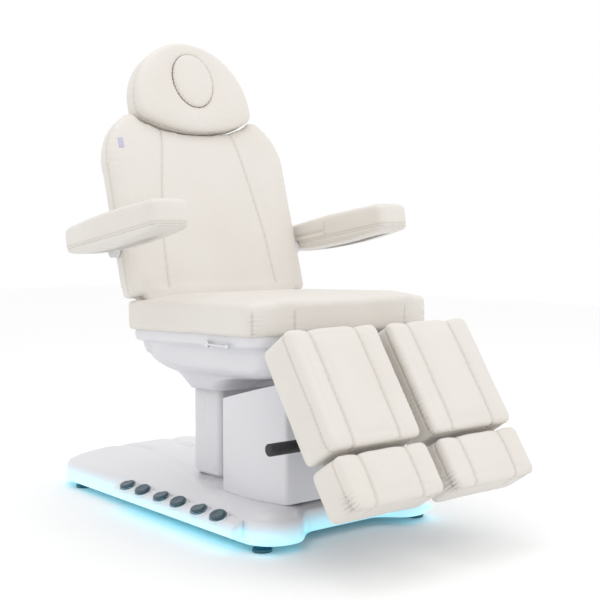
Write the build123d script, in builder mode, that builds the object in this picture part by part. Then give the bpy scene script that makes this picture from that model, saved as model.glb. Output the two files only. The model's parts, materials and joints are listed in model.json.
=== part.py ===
from build123d import *
import math
import os

# Electric facial treatment bed: six-pedal base, telescopic lifting column, tilting seat,
# reclining backrest, two armrests, a sliding and tilting headrest and two split leg rests.
# Millimetres, +Z up, the client faces -Y, the origin is on the floor under the middle of the bed.
# "right" is the client's right hand, at -X.

os.makedirs("parts", exist_ok=True)

# ---------------------------------------------------------------- driving dimensions
SEAT_HALF = 300  # half the seat's width
SEAT_REAR_Y = 191
SEAT_HORN_Y = 250  # the cushion's rear corners reach past the backrest's narrow foot
HORN_IN = 268
SEAT_SIDE_FRONT_Y = -312
SEAT_FRONT_Y = -364
SEAT_BASE_Z = 510.5  # underside of the cushion above the middle of the seat
SEAT_BASE_Y = -47
SEAT_PITCH = 1.72  # the seat's front stands a little higher
SEAT_THICK = 76

BASE_HALF = 300
BASE_FRONT_Y = -370
BASE_REAR_Y = 680.8
BASE_CORNER = 85
BAY_DEPTH = 62  # the front edge steps back between the two front feet
SKIRT_BOTTOM = 20
SKIRT_TOP = 74
DECK_Z = 100
SHELL = 4  # wall of the moulded covers

FOOT_X = 260
FOOT_Y = (-309, 575)
FOOT_R = 25

COLUMN_Y = 98
TILT_PIVOT = (93, 436)  # y, z
LEG_PIVOT = (-372, 505)
BACK_PIVOT = (238, 555)
LEG_DROP = 56.55  # the leg rests hang this far below horizontal
BACK_LEAN = 16.5  # the backrest leans this far behind vertical

BACK_HALF = 308
BACK_END_R = 43  # round lower end of the backrest, centred on its hinge
BACK_END_HALF = 262
BACK_FRONT = 53
BACK_CORE = -20  # rear face of the cushion
BACK_PANEL = 12

HEAD_R = 198
HEAD_CENTRE_S = 594
HEAD_HINGE = (585, -24)  # along the backrest, in front of its hinge line

LEG_X = 160
LEG_HALF = 140
LEG_NEAR_T = 5
LEG_FAR_T = 305
FOOT_NEAR_T = 318
FOOT_FAR_T = 445
PAD_REAR = -28
PAD_FRONT = 85

ARM_X = 380
ARM_HALF_W = 55
ARM_HALF_L = 235
ARM_MID = (123, 780)
ARM_PITCH = 8.5
ARM_REAR = (-38, 31)  # underside and top, across the armrest's line
ARM_MIDDLE = (-50, 41)
ARM_TIP = (-36, 36)
ARM_SPLIT = -26  # the pad above it, the shell below
ARM_PIVOT = (171, 4)  # along the backrest, in front of its hinge line

PEDAL_X = -316
PEDAL_Z = 74
PEDAL_YS = (223, 145, 53, -28, -122, -205)
PEDAL_NAMES = ("height_up", "height_down", "back_up", "back_down", "tilt_up", "tilt_down")
PEDAL_LEAN = 24

SIDES = (("right", -1), ("left", 1))

# ---------------------------------------------------------------- shared planes
leg_dir = Vector(0, -math.cos(math.radians(LEG_DROP)), -math.sin(math.radians(LEG_DROP)))
leg_out = Vector(0, -math.sin(math.radians(LEG_DROP)), math.cos(math.radians(LEG_DROP)))
back_dir = Vector(0, math.sin(math.radians(BACK_LEAN)), math.cos(math.radians(BACK_LEAN)))
back_out = Vector(0, -math.cos(math.radians(BACK_LEAN)), math.sin(math.radians(BACK_LEAN)))
arm_dir = Vector(0, -math.cos(math.radians(ARM_PITCH)), math.sin(math.radians(ARM_PITCH)))
arm_up = Vector(0, math.sin(math.radians(ARM_PITCH)), math.cos(math.radians(ARM_PITCH)))
back_axis = Axis((0, *BACK_PIVOT), back_out)


def leg_side(x):
    """Side view of a leg rest: local x runs down the pad, local y out of its top."""
    return Plane(origin=(x, *LEG_PIVOT), x_dir=leg_dir, z_dir=(-1, 0, 0))


def back_side(x):
    """Side view of the backrest: local x runs up it, local y out of its front."""
    return Plane(origin=(x, *BACK_PIVOT), x_dir=back_dir, z_dir=(1, 0, 0))


def back_face(depth):
    """Front view of the backrest: local y runs up it, depth is out of its front."""
    origin = Vector(0, *BACK_PIVOT) + back_out * depth
    return Plane(origin=origin, x_dir=(1, 0, 0), z_dir=back_out)


def seat_plan(height):
    """Plan of the seat, on the slightly pitched plane under its cushion."""
    normal = Vector(0, math.sin(math.radians(SEAT_PITCH)), math.cos(math.radians(SEAT_PITCH)))
    origin = Vector(0, SEAT_BASE_Y, SEAT_BASE_Z) + normal * height
    return Plane(origin=origin, x_dir=(1, 0, 0), z_dir=normal)


def arm_side(x):
    """Side view of an armrest: local x runs towards its tip, local y up."""
    return Plane(origin=(x, *ARM_MID), x_dir=arm_dir, z_dir=(-1, 0, 0))


def block(xs, ys, zs, mode=Mode.ADD):
    """A box between two corners, given as three pairs."""
    middle = [(a + b) / 2 for a, b in (xs, ys, zs)]
    with Locations(tuple(middle)):
        Box(xs[1] - xs[0], ys[1] - ys[0], zs[1] - zs[0], mode=mode)


def both(x_low, x_high):
    """The same stretch of X on the right and on the left."""
    return ((-x_high, -x_low), (x_low, x_high))


def base_corners(inset_x, inset_y):
    """Corners of the base's plan, with the bay between the front feet."""
    side = BASE_HALF - inset_x
    front = BASE_FRONT_Y + inset_y
    rear = BASE_REAR_Y - inset_y
    bay = front + BAY_DEPTH
    return [(side, rear), (-side, rear), (-side, front), (-side + 110, front), (-side + 190, bay),
            (side - 190, bay), (side - 110, front), (side, front)]


BAY_RADIUS = 60
BASE_RADII = [BASE_CORNER, BASE_CORNER, BASE_CORNER / 2, BAY_RADIUS, BAY_RADIUS, BAY_RADIUS, BAY_RADIUS,
              BASE_CORNER / 2]


def base_plan(inset_x, inset_y):
    """Plan of the base, drawn in from its edge."""
    with BuildSketch() as plan:
        with BuildLine():
            FilletPolyline(*base_corners(inset_x, inset_y), radius=BASE_RADII, close=True)
        make_face()
    return plan.sketch


def hand_in(part, name):
    """Labels a finished piece and writes it."""
    part.label = name
    export_step(part, "parts/" + name + ".step")


# ================================================================ base
with BuildPart() as base_inside:
    with BuildSketch(Plane.XY):
        add(base_plan(SHELL, SHELL))
    extrude(amount=SKIRT_TOP - 1)
    with BuildSketch(Plane.XY.offset(SKIRT_TOP - 1)):
        add(base_plan(SHELL, SHELL))
    with BuildSketch(Plane.XY.offset(DECK_Z - SHELL)):
        add(base_plan(82, 62))
    loft(ruled=True)

with BuildPart() as base_cover:
    with BuildSketch(Plane.XY.offset(SKIRT_BOTTOM)):
        add(base_plan(0, 0))
    extrude(amount=SKIRT_TOP - SKIRT_BOTTOM)
    with BuildSketch(Plane.XY.offset(SKIRT_TOP)):
        add(base_plan(0, 0))
    with BuildSketch(Plane.XY.offset(DECK_Z)):
        add(base_plan(78, 58))
    loft(ruled=True)
    add(base_inside.part, mode=Mode.SUBTRACT)
    # opening for the lifting column
    block((-122, 122), (COLUMN_Y - 46, COLUMN_Y + 46), (DECK_Z - 10, DECK_Z + 10), Mode.SUBTRACT)
    # the skirt rises in an arch between the feet on each long side
    with BuildSketch(Plane.YZ.offset(-BASE_HALF - 10)):
        with Locations((420, SKIRT_BOTTOM)):
            SlotOverall(150, 16)
    extrude(amount=2 * BASE_HALF + 20, mode=Mode.SUBTRACT)
    # seat of the mains inlet in the rear skirt
    block((126, 174), (BASE_REAR_Y - 12, BASE_REAR_Y + 5), (34, 62), Mode.SUBTRACT)
hand_in(base_cover.part, "base_cover")

RAIL_Z = (34, 58)
with BuildPart() as base_frame:
    for xs in both(218, 250):
        block(xs, (-330, 610), RAIL_Z)
        block((xs[0] + 3, xs[1] - 3), (-331, 611), (RAIL_Z[0] + 3, RAIL_Z[1] - 3), Mode.SUBTRACT)
    for y in (-240, 575):
        block((-250, 250), (y - 18, y + 18), RAIL_Z)
    for y in FOOT_Y:
        for xs in both(218, 282):
            block(xs, (y - 18, y + 18), RAIL_Z)
    block((-250, 250), (-120, 260), (58, 64))
    with Locations(*[(x, y, 0) for x in (-FOOT_X, FOOT_X) for y in FOOT_Y]):
        Cylinder(5.05, 200, mode=Mode.SUBTRACT)
hand_in(base_frame.part, "base_frame")

with BuildPart() as levelling_feet:
    with BuildSketch(Plane.XZ):
        with BuildLine():
            Polyline((5.3, 0), (FOOT_R, 0), (FOOT_R, 6), (FOOT_R - 3, 12), (14, 15), (5.3, 15), close=True)
        make_face()
    revolve(axis=Axis.Z)
foot_pads = [levelling_feet.part.moved(Location((x, y, 0))) for x in (-FOOT_X, FOOT_X) for y in FOOT_Y]
hand_in(Compound(children=foot_pads), "levelling_feet")

with BuildPart() as stud:
    with BuildSketch(Plane.XZ):
        with BuildLine():
            Polyline((0, 1), (5, 1), (5, 70), (4, 71), (0, 71), close=True)
        make_face()
    revolve(axis=Axis.Z)
with BuildPart() as jam_nut:
    with BuildSketch(Plane.XY.offset(24)):
        RegularPolygon(radius=8.5, side_count=6, major_radius=False)
        Circle(5.05, mode=Mode.SUBTRACT)
    extrude(amount=9.9)
    chamfer(jam_nut.edges().filter_by(GeomType.LINE).group_by(Axis.Z)[0], length=0.8)
studs = []
for x in (-FOOT_X, FOOT_X):
    for y in FOOT_Y:
        studs.append(stud.part.moved(Location((x, y, 0))))
        studs.append(jam_nut.part.moved(Location((x, y, 0))))
hand_in(Compound(children=studs), "levelling_studs")

with BuildPart() as led_inside:
    with BuildSketch(Plane.XY.offset(20)):
        add(base_plan(13, 13))
    extrude(amount=40)
with BuildPart() as led_strip:
    with BuildSketch(Plane.XY.offset(30)):
        add(base_plan(4.6, 4.6))
    extrude(amount=3.6)
    add(led_inside.part, mode=Mode.SUBTRACT)
    for y in FOOT_Y:
        block((-300, 300), (y - 19, y + 19), (20, 60), Mode.SUBTRACT)
hand_in(led_strip.part, "led_strip")

# pedal bar along the client's right side, its top leaning outwards
with BuildPart() as pedal_bar:
    with BuildSketch(Plane.XZ.offset(-272)):
        with BuildLine():
            Polyline((-BASE_HALF - 0.2, 34), (-334, 38), (-336, 58), (-322, 70),
                     (-BASE_HALF - 0.2, 78), close=True)
        make_face()
    extrude(amount=558)
    fillet(pedal_bar.edges().filter_by(Axis.Z, tolerance=12), 3)
pedal_planes = []
for y in PEDAL_YS:
    lean = math.radians(PEDAL_LEAN)
    pedal_planes.append(Plane(origin=(PEDAL_X, y, PEDAL_Z), x_dir=(0, 1, 0),
                              z_dir=(-math.sin(lean), 0, math.cos(lean))))
with BuildPart() as pedal_bores:
    for plane in pedal_planes:
        with BuildSketch(plane.offset(-22)):
            Circle(5.06)
        extrude(amount=22)
        with BuildSketch(plane.offset(-6.2)):
            Ellipse(25.5, 21.5)
        extrude(amount=30)
with BuildPart() as pedal_bar_cut:
    add(pedal_bar.part)
    add(pedal_bores.part, mode=Mode.SUBTRACT)
hand_in(pedal_bar_cut.part, "pedal_bar")

for name, plane in zip(PEDAL_NAMES, pedal_planes):
    with BuildPart() as pedal:
        with BuildSketch(plane):
            Ellipse(24, 20)
        extrude(amount=9)
        fillet(pedal.edges().group_by(SortBy.LENGTH)[-1], 3.4)
        with BuildSketch(plane.offset(-15)):
            Circle(5)
        extrude(amount=15.5)
    hand_in(pedal.part, "pedal_" + name)

# front housing with the power supply
HOUSING_REAR_Y = -67
HOUSING_FRONT_Y = -312
housing_slope = math.radians(14.9)
housing_top = Plane(origin=(0, HOUSING_REAR_Y, 337), x_dir=(1, 0, 0),
                    z_dir=(0, math.sin(housing_slope), math.cos(housing_slope)))
with BuildPart() as housing_inside:
    with BuildSketch(Plane.XY.offset(DECK_Z - 1)):
        with BuildLine():
            Line((-201, HOUSING_REAR_Y - SHELL), (201, HOUSING_REAR_Y - SHELL))
            ThreePointArc((201, HOUSING_REAR_Y - SHELL), (210, -180), (182, HOUSING_FRONT_Y + SHELL))
            Line((182, HOUSING_FRONT_Y + SHELL), (-182, HOUSING_FRONT_Y + SHELL))
            ThreePointArc((-182, HOUSING_FRONT_Y + SHELL), (-210, -180), (-201, HOUSING_REAR_Y - SHELL))
        make_face()
    extrude(amount=330)
    split(bisect_by=housing_top.offset(-SHELL), keep=Keep.BOTTOM)
with BuildPart() as front_housing:
    with BuildSketch(Plane.XY.offset(DECK_Z)):
        with BuildLine():
            Line((-205, HOUSING_REAR_Y), (205, HOUSING_REAR_Y))
            ThreePointArc((205, HOUSING_REAR_Y), (214, -180), (186, HOUSING_FRONT_Y))
            Line((186, HOUSING_FRONT_Y), (-186, HOUSING_FRONT_Y))
            ThreePointArc((-186, HOUSING_FRONT_Y), (-214, -180), (-205, HOUSING_REAR_Y))
        make_face()
    extrude(amount=330)
    split(bisect_by=housing_top, keep=Keep.BOTTOM)
    fillet(front_housing.edges().filter_by(Axis.Z), 12)
    add(housing_inside.part, mode=Mode.SUBTRACT)
hand_in(front_housing.part, "front_housing")

with BuildPart() as control_box:
    block((-95, 95), (-285, -115), (DECK_Z, 178))
    fillet(control_box.edges().filter_by(Axis.Z), 6)
    with GridLocations(36, 1, 4, 1):
        with Locations((0, -200, 178)):
            Box(22, 110, 3, align=(Align.CENTER, Align.CENTER, Align.MAX), mode=Mode.SUBTRACT)
hand_in(control_box.part, "control_box")

with BuildPart() as power_inlet:
    block((126.2, 173.8), (BASE_REAR_Y - 28, BASE_REAR_Y + 2), (34.2, 61.8))
    block((137, 163), (BASE_REAR_Y - 14, BASE_REAR_Y + 3), (41, 55), Mode.SUBTRACT)
    with Locations(*[(x, BASE_REAR_Y - 8, 48) for x in (143, 150, 157)]):
        Box(2, 13, 5)
hand_in(power_inlet.part, "power_inlet")

# telescopic column: three steel stages inside two moulded covers
STAGE_WALL = 3
STAGES = {"outer": (55, 40, 64, 335), "middle": (49.4, 34.4, 68, 372), "inner": (43.8, 28.8, 72, 412)}
for name in STAGES:
    half_w, half_d, low, high = STAGES[name]
    with BuildPart() as stage:
        with BuildSketch(Plane.XY.offset(low)):
            with Locations((0, COLUMN_Y)):
                RectangleRounded(2 * half_w, 2 * half_d, 6)
                RectangleRounded(2 * (half_w - STAGE_WALL), 2 * (half_d - STAGE_WALL), 3.5,
                                 mode=Mode.SUBTRACT)
        extrude(amount=high - low)
    hand_in(stage.part, "column_" + name + "_tube")

with BuildPart() as foot_cover:
    with BuildSketch(Plane.XY.offset(DECK_Z)):
        with Locations((0, COLUMN_Y)):
            RectangleRounded(262, 118, 14)
            RectangleRounded(256, 112, 11, mode=Mode.SUBTRACT)
    extrude(amount=288)
hand_in(foot_cover.part, "column_foot_cover")

with BuildPart() as actuator_tube:
    with BuildSketch(Plane.XY.offset(64)):
        with Locations((0, COLUMN_Y)):
            Circle(20)
            Circle(11.06, mode=Mode.SUBTRACT)
    extrude(amount=246)
hand_in(actuator_tube.part, "lift_actuator_tube")

with BuildPart() as lift_motor:
    block((55.3, 120), (COLUMN_Y - 28, COLUMN_Y + 28), (64, 92))
    with BuildSketch(Plane.XY.offset(92)):
        with Locations((92, COLUMN_Y)):
            Circle(27)
    extrude(amount=105)
    with BuildSketch(Plane.XY.offset(197)):
        with Locations((92, COLUMN_Y)):
            Circle(21)
    extrude(amount=12)
hand_in(lift_motor.part, "lift_gearmotor")

# ================================================================ lift carriage
with BuildPart() as column_cover:
    with BuildSketch(Plane.XY.offset(108)):
        with Locations((0, COLUMN_Y)):
            RectangleRounded(282, 130, 18)
            RectangleRounded(274, 122, 14, mode=Mode.SUBTRACT)
    extrude(amount=292)
    # top web that hangs the cover on the column head
    with BuildSketch(Plane.XY.offset(396)):
        with Locations((0, COLUMN_Y)):
            RectangleRounded(276, 124, 14)
            RectangleRounded(2 * 43.8 + 0.4, 2 * 28.8 + 0.4, 6.2, mode=Mode.SUBTRACT)
    extrude(amount=4)
hand_in(column_cover.part, "column_cover")

tilt_y, tilt_z = TILT_PIVOT
TILT_A = (15, 425)  # the tilt actuator's pivot on the lift head
TILT_X = 40
with BuildPart() as head_bracket:
    block((-80, 80), (COLUMN_Y - 50, COLUMN_Y + 44), (412, 419))
    for xs in both(60, 68):
        with BuildSketch(Plane.YZ.offset(xs[0])):
            with BuildLine():
                Polyline((tilt_y - 26, 419), (tilt_y + 26, 419), (tilt_y + 13, tilt_z),
                         (tilt_y - 13, tilt_z), close=True)
            make_face()
            with Locations((tilt_y, tilt_z)):
                Circle(13)
        extrude(amount=8)
    # forward ears for the tilt actuator
    for dx in (-16, 10):
        with BuildSketch(Plane.YZ.offset(TILT_X + dx)):
            with BuildLine():
                Polyline((60, 412), (60, 419), (15, 436), (5, 430), (5, 420), (15, 413), close=True)
            make_face()
        extrude(amount=6)
    with BuildSketch(Plane.YZ.offset(-85)):
        with Locations(TILT_PIVOT):
            Circle(8)
    extrude(amount=170)
    block((-59.9, 59.9), (tilt_y - 20, tilt_y + 20), (tilt_z - 8.5, tilt_z + 20), Mode.SUBTRACT)
    block((-59.9, 59.9), (tilt_y - 20, tilt_y + 20), (412, 419))
    with BuildSketch(Plane.YZ.offset(TILT_X - 16)):
        with Locations(TILT_A):
            Circle(5)
    extrude(amount=32)
hand_in(head_bracket.part, "lift_head_bracket")

with BuildPart() as actuator_rod:
    with BuildSketch(Plane.XY.offset(110)):
        with Locations((0, COLUMN_Y)):
            Circle(11)
    extrude(amount=302)
hand_in(actuator_rod.part, "lift_actuator_rod")

# ================================================================ tilt actuator
TILT_B = (-200, 462)
tilt_axis = Vector(0, TILT_B[0] - TILT_A[0], TILT_B[1] - TILT_A[1]).normalized()
tilt_side = Plane(origin=(TILT_X, *TILT_A), x_dir=tilt_axis, z_dir=(1, 0, 0))
tilt_length = math.dist(TILT_A, TILT_B)
tilt_bore = Plane(origin=Vector(TILT_X, *TILT_A), x_dir=(1, 0, 0), z_dir=tilt_axis)
with BuildPart() as tilt_tube:
    with BuildSketch(tilt_bore.offset(22)):
        Circle(17)
    extrude(amount=118)
    with BuildSketch(tilt_bore):
        Rectangle(18, 22)
    extrude(amount=24)
    with BuildSketch(tilt_side):
        Circle(11)
    extrude(amount=9, both=True)
    with BuildSketch(tilt_side):
        Circle(5.05)
    extrude(amount=20, both=True, mode=Mode.SUBTRACT)
    with BuildSketch(tilt_bore.offset(34)):
        Circle(7.56)
    extrude(amount=120, mode=Mode.SUBTRACT)
hand_in(tilt_tube.part, "tilt_actuator_tube")

with BuildPart() as tilt_rod:
    with BuildSketch(tilt_bore.offset(60)):
        Circle(7.5)
    extrude(amount=tilt_length - 60 - 8)
    with BuildSketch(tilt_side):
        with Locations((tilt_length, 0)):
            Circle(12)
    extrude(amount=8.4, both=True)
    with BuildSketch(tilt_side):
        with Locations((tilt_length, 0)):
            Circle(6.2)
    extrude(amount=20, both=True, mode=Mode.SUBTRACT)
hand_in(tilt_rod.part, "tilt_actuator_rod")

# ================================================================ seat
FRAME_TOP = -12.3  # under the seat board
FRAME_LOW = -40
with BuildPart() as seat_frame:
    for x_mid in (-170, 170):
        with BuildSketch(seat_plan(FRAME_LOW)):
            with Locations((x_mid, -4)):
                Rectangle(36, 500)
        extrude(amount=FRAME_TOP - FRAME_LOW)
    for y_mid in (-236, -153):
        with BuildSketch(seat_plan(FRAME_LOW + 4)):
            with Locations((0, y_mid)):
                Rectangle(310, 28)
        extrude(amount=FRAME_TOP - FRAME_LOW - 4)
    with BuildSketch(seat_plan(FRAME_LOW + 4)):
        with Locations((0, -236)):
            Rectangle(450, 28)
    extrude(amount=FRAME_TOP - FRAME_LOW - 4)
    # side members and ears on the tilt pivot
    for xs in both(69, 77):
        with BuildSketch(Plane.YZ.offset(xs[0])):
            with BuildLine():
                Polyline((tilt_y - 30, 488), (tilt_y + 30, 487), (tilt_y + 13, tilt_z),
                         (tilt_y - 13, tilt_z), close=True)
            make_face()
            with Locations(TILT_PIVOT):
                Circle(13)
            with Locations(TILT_PIVOT):
                Circle(8.05, mode=Mode.SUBTRACT)
        extrude(amount=8)
    for xs in both(69, 160):
        block(xs, (tilt_y - 16, tilt_y + 16), (470, 490))
    # ears for the tilt actuator's pin
    for dx in (-14, 9):
        with BuildSketch(Plane.YZ.offset(TILT_X + dx)):
            with BuildLine():
                Polyline((-213, 495), (-187, 495), (-190, TILT_B[1]), (-210, TILT_B[1]), close=True)
            make_face()
            with Locations(TILT_B):
                Circle(10)
        extrude(amount=5)
    with BuildSketch(Plane.YZ.offset(TILT_X - 14)):
        with Locations(TILT_B):
            Circle(5)
    extrude(amount=28)
    # hinge ears of the leg rests
    for low, high in ((100, 106), (214, 220)):
        for xs in both(low, high):
            with BuildSketch(Plane.YZ.offset(xs[0])):
                with BuildLine():
                    Polyline((LEG_PIVOT[0], 516), (-330, 503), (-270, 499), (-270, 480),
                             (LEG_PIVOT[0], 494), close=True)
                make_face()
                with Locations(LEG_PIVOT):
                    Circle(11)
                with Locations(LEG_PIVOT):
                    Circle(6, mode=Mode.SUBTRACT)
            extrude(amount=high - low)
    # hinge ears of the backrest
    for low, high in ((200, 206), (254, 260)):
        for xs in both(low, high):
            with BuildSketch(Plane.YZ.offset(xs[0])):
                with BuildLine():
                    Polyline((194, 466), (222, 466), (BACK_PIVOT[0] + 13, BACK_PIVOT[1] - 8),
                             (BACK_PIVOT[0] - 15, BACK_PIVOT[1]), (205, 500), (194, 488), close=True)
                make_face()
                with Locations(BACK_PIVOT):
                    Circle(15)
                with Locations(BACK_PIVOT):
                    Circle(7, mode=Mode.SUBTRACT)
            extrude(amount=high - low)
    for xs in both(186, 260):
        block(xs, (194, 208), (466, 486))
hand_in(seat_frame.part, "seat_frame")

with BuildPart() as seat_board:
    with BuildSketch(seat_plan(-12)):
        with Locations((0, -15)):
            RectangleRounded(540, 500, 30)
        with Locations((0, 235)):
            Rectangle(44, 110, mode=Mode.SUBTRACT)
    extrude(amount=11.8)
hand_in(seat_board.part, "seat_board")

# tub under the cushion: rim, tapering hull and a slot for everything that passes through
TUB_STATIONS = ((-6, 285, -272, 303, 34), (-26, 284, -272, 303, 34), (-78, 262, -262, 286, 50),
                (-112, 225, -222, 258, 60), (-168, 166, 50, 216, 40))


def tub_station(index, wall):
    """Half width, middle and depth of one level of the tub, inside its wall."""
    height, half_w, front, rear, radius = TUB_STATIONS[index]
    return height, 2 * (half_w - wall), (front + rear) / 2, rear - front - 2 * wall, radius - wall


INSIDE_HEIGHTS = (2, -26, -78, -112, -164)  # open at the top, one wall above the hull's floor
RELEASE_AT = (-130, 490)  # y and z of the release lever's pivot
with BuildPart() as tub_inside:
    for index in range(len(TUB_STATIONS)):
        height, width, middle, depth, radius = tub_station(index, SHELL)
        with BuildSketch(seat_plan(INSIDE_HEIGHTS[index])):
            with Locations((0, middle)):
                RectangleRounded(width, depth, radius)
    loft(ruled=True)
with BuildPart() as tub_cover:
    for index in range(len(TUB_STATIONS)):
        height, width, middle, depth, radius = tub_station(index, 0)
        with BuildSketch(seat_plan(height)):
            with Locations((0, middle)):
                RectangleRounded(width, depth, radius)
    loft(ruled=True)
    add(tub_inside.part, mode=Mode.SUBTRACT)
    # opening round the column, longer behind it for the seat's tilt
    block((-150, 150), (24, 205), (300, 420), Mode.SUBTRACT)
    # slots for the leg rests' hinge ears
    for low, high in ((98, 108), (212, 222)):
        for xs in both(low, high):
            block(xs, (-340, -290), (478, 530), Mode.SUBTRACT)
    # slots for the backrest's ears and its lever
    for xs in both(197, 263):
        block(xs, (190, 246), (455, 530), Mode.SUBTRACT)
    block((-22, 22), (180, 310), (428, 530), Mode.SUBTRACT)
    # bores of the release lever's pivot
    with BuildSketch(Plane.YZ.offset(-300)):
        with Locations(RELEASE_AT):
            Circle(3.05)
    extrude(amount=40, mode=Mode.SUBTRACT)
hand_in(tub_cover.part, "tub_cover")

with BuildPart() as seat_cushion:
    with BuildSketch(seat_plan(0)):
        with BuildLine():
            side_y = SEAT_SIDE_FRONT_Y - SEAT_BASE_Y
            front_y = SEAT_FRONT_Y - SEAT_BASE_Y
            rear_y = SEAT_REAR_Y - SEAT_BASE_Y
            horn_y = SEAT_HORN_Y - SEAT_BASE_Y
            Polyline((-SEAT_HALF, side_y), (-SEAT_HALF, horn_y), (-HORN_IN, horn_y), (-HORN_IN, rear_y),
                     (HORN_IN, rear_y), (HORN_IN, horn_y), (SEAT_HALF, horn_y), (SEAT_HALF, side_y))
            ThreePointArc((SEAT_HALF, side_y), (0, front_y), (-SEAT_HALF, side_y))
        make_face()
    extrude(amount=SEAT_THICK)
    fillet(seat_cushion.edges().filter_by(Axis.Z, tolerance=4).group_by(Axis.Y)[0], 26)
    fillet(seat_cushion.edges().filter_by(Axis.Z, tolerance=4).group_by(Axis.Y)[-1], 8)
    fillet(seat_cushion.faces().sort_by(Axis.Z)[-1].edges(), 12)
hand_in(seat_cushion.part, "seat_cushion")

LEG_PIN_R = 5.95
BACK_PIN_R = 6.95
with BuildPart() as hinge_pins:
    for xs in both(94, 226):
        with BuildSketch(Plane.YZ.offset(xs[0])):
            with Locations(LEG_PIVOT):
                Circle(LEG_PIN_R)
        extrude(amount=132)
    for xs in both(195, 265):
        with BuildSketch(Plane.YZ.offset(xs[0])):
            with Locations(BACK_PIVOT):
                Circle(BACK_PIN_R)
        extrude(amount=70)
hand_in(hinge_pins.part, "hinge_pins")

BACK_ROD_Z = 465
with BuildPart() as back_tube:
    with BuildSketch(Plane.XZ.offset(-140)):
        with Locations((0, BACK_ROD_Z)):
            Circle(15)
            Circle(7.06, mode=Mode.SUBTRACT)
    extrude(amount=190)
    # saddle up to the seat board
    block((-20, 20), (-40, -20), (476, 497))
    block((-20, 20), (20, 40), (476, 495))
    with BuildSketch(Plane.XZ.offset(-141)):
        with Locations((0, BACK_ROD_Z)):
            Circle(7.06)
    extrude(amount=220, mode=Mode.SUBTRACT)
hand_in(back_tube.part, "back_actuator_tube")

# release lever on the client's right
with BuildPart() as release_lever:
    with BuildSketch(Plane.YZ.offset(-297)):
        with Locations(RELEASE_AT):
            Circle(9)
    extrude(amount=6)
    with BuildSketch(Plane.YZ.offset(-297)):
        with Locations(RELEASE_AT):
            Circle(3)
    extrude(amount=26)
    with BuildSketch(Plane.XZ.offset(-RELEASE_AT[0])):
        with Locations((-294, RELEASE_AT[1])):
            Circle(3)
    extrude(amount=84)
    with Locations((-294, -216, RELEASE_AT[1])):
        Sphere(6.5)
hand_in(release_lever.part, "release_lever")

# ================================================================ back actuator's rod
LEVER_PIN = (-59.8, -80.1)  # along and out of the backrest, from its hinge
lever_pin_y = BACK_PIVOT[0] + LEVER_PIN[0] * back_dir.Y + LEVER_PIN[1] * back_out.Y
YOKE_BACK = 14  # from the pin to the yoke's bridge
YOKE_FRONT = 26
ROD_FRONT_Y = 30
with BuildPart() as back_rod:
    with BuildSketch(Plane.XZ.offset(-(lever_pin_y - YOKE_FRONT + 2))):
        with Locations((0, BACK_ROD_Z)):
            Circle(7)
    extrude(amount=lever_pin_y - YOKE_FRONT + 2 - ROD_FRONT_Y)
    block((-14, 14), (lever_pin_y - YOKE_FRONT, lever_pin_y - YOKE_BACK),
          (BACK_ROD_Z - 24, BACK_ROD_Z + 24))
    for xs in both(8, 14):
        block(xs, (lever_pin_y - YOKE_FRONT, lever_pin_y + 16), (BACK_ROD_Z - 26, BACK_ROD_Z + 25))
        block((xs[0] - 0.1, xs[1] + 0.1), (lever_pin_y - 9, lever_pin_y + 9),
              (BACK_ROD_Z - 20, BACK_ROD_Z + 20), Mode.SUBTRACT)
hand_in(back_rod.part, "back_actuator_rod")

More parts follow.
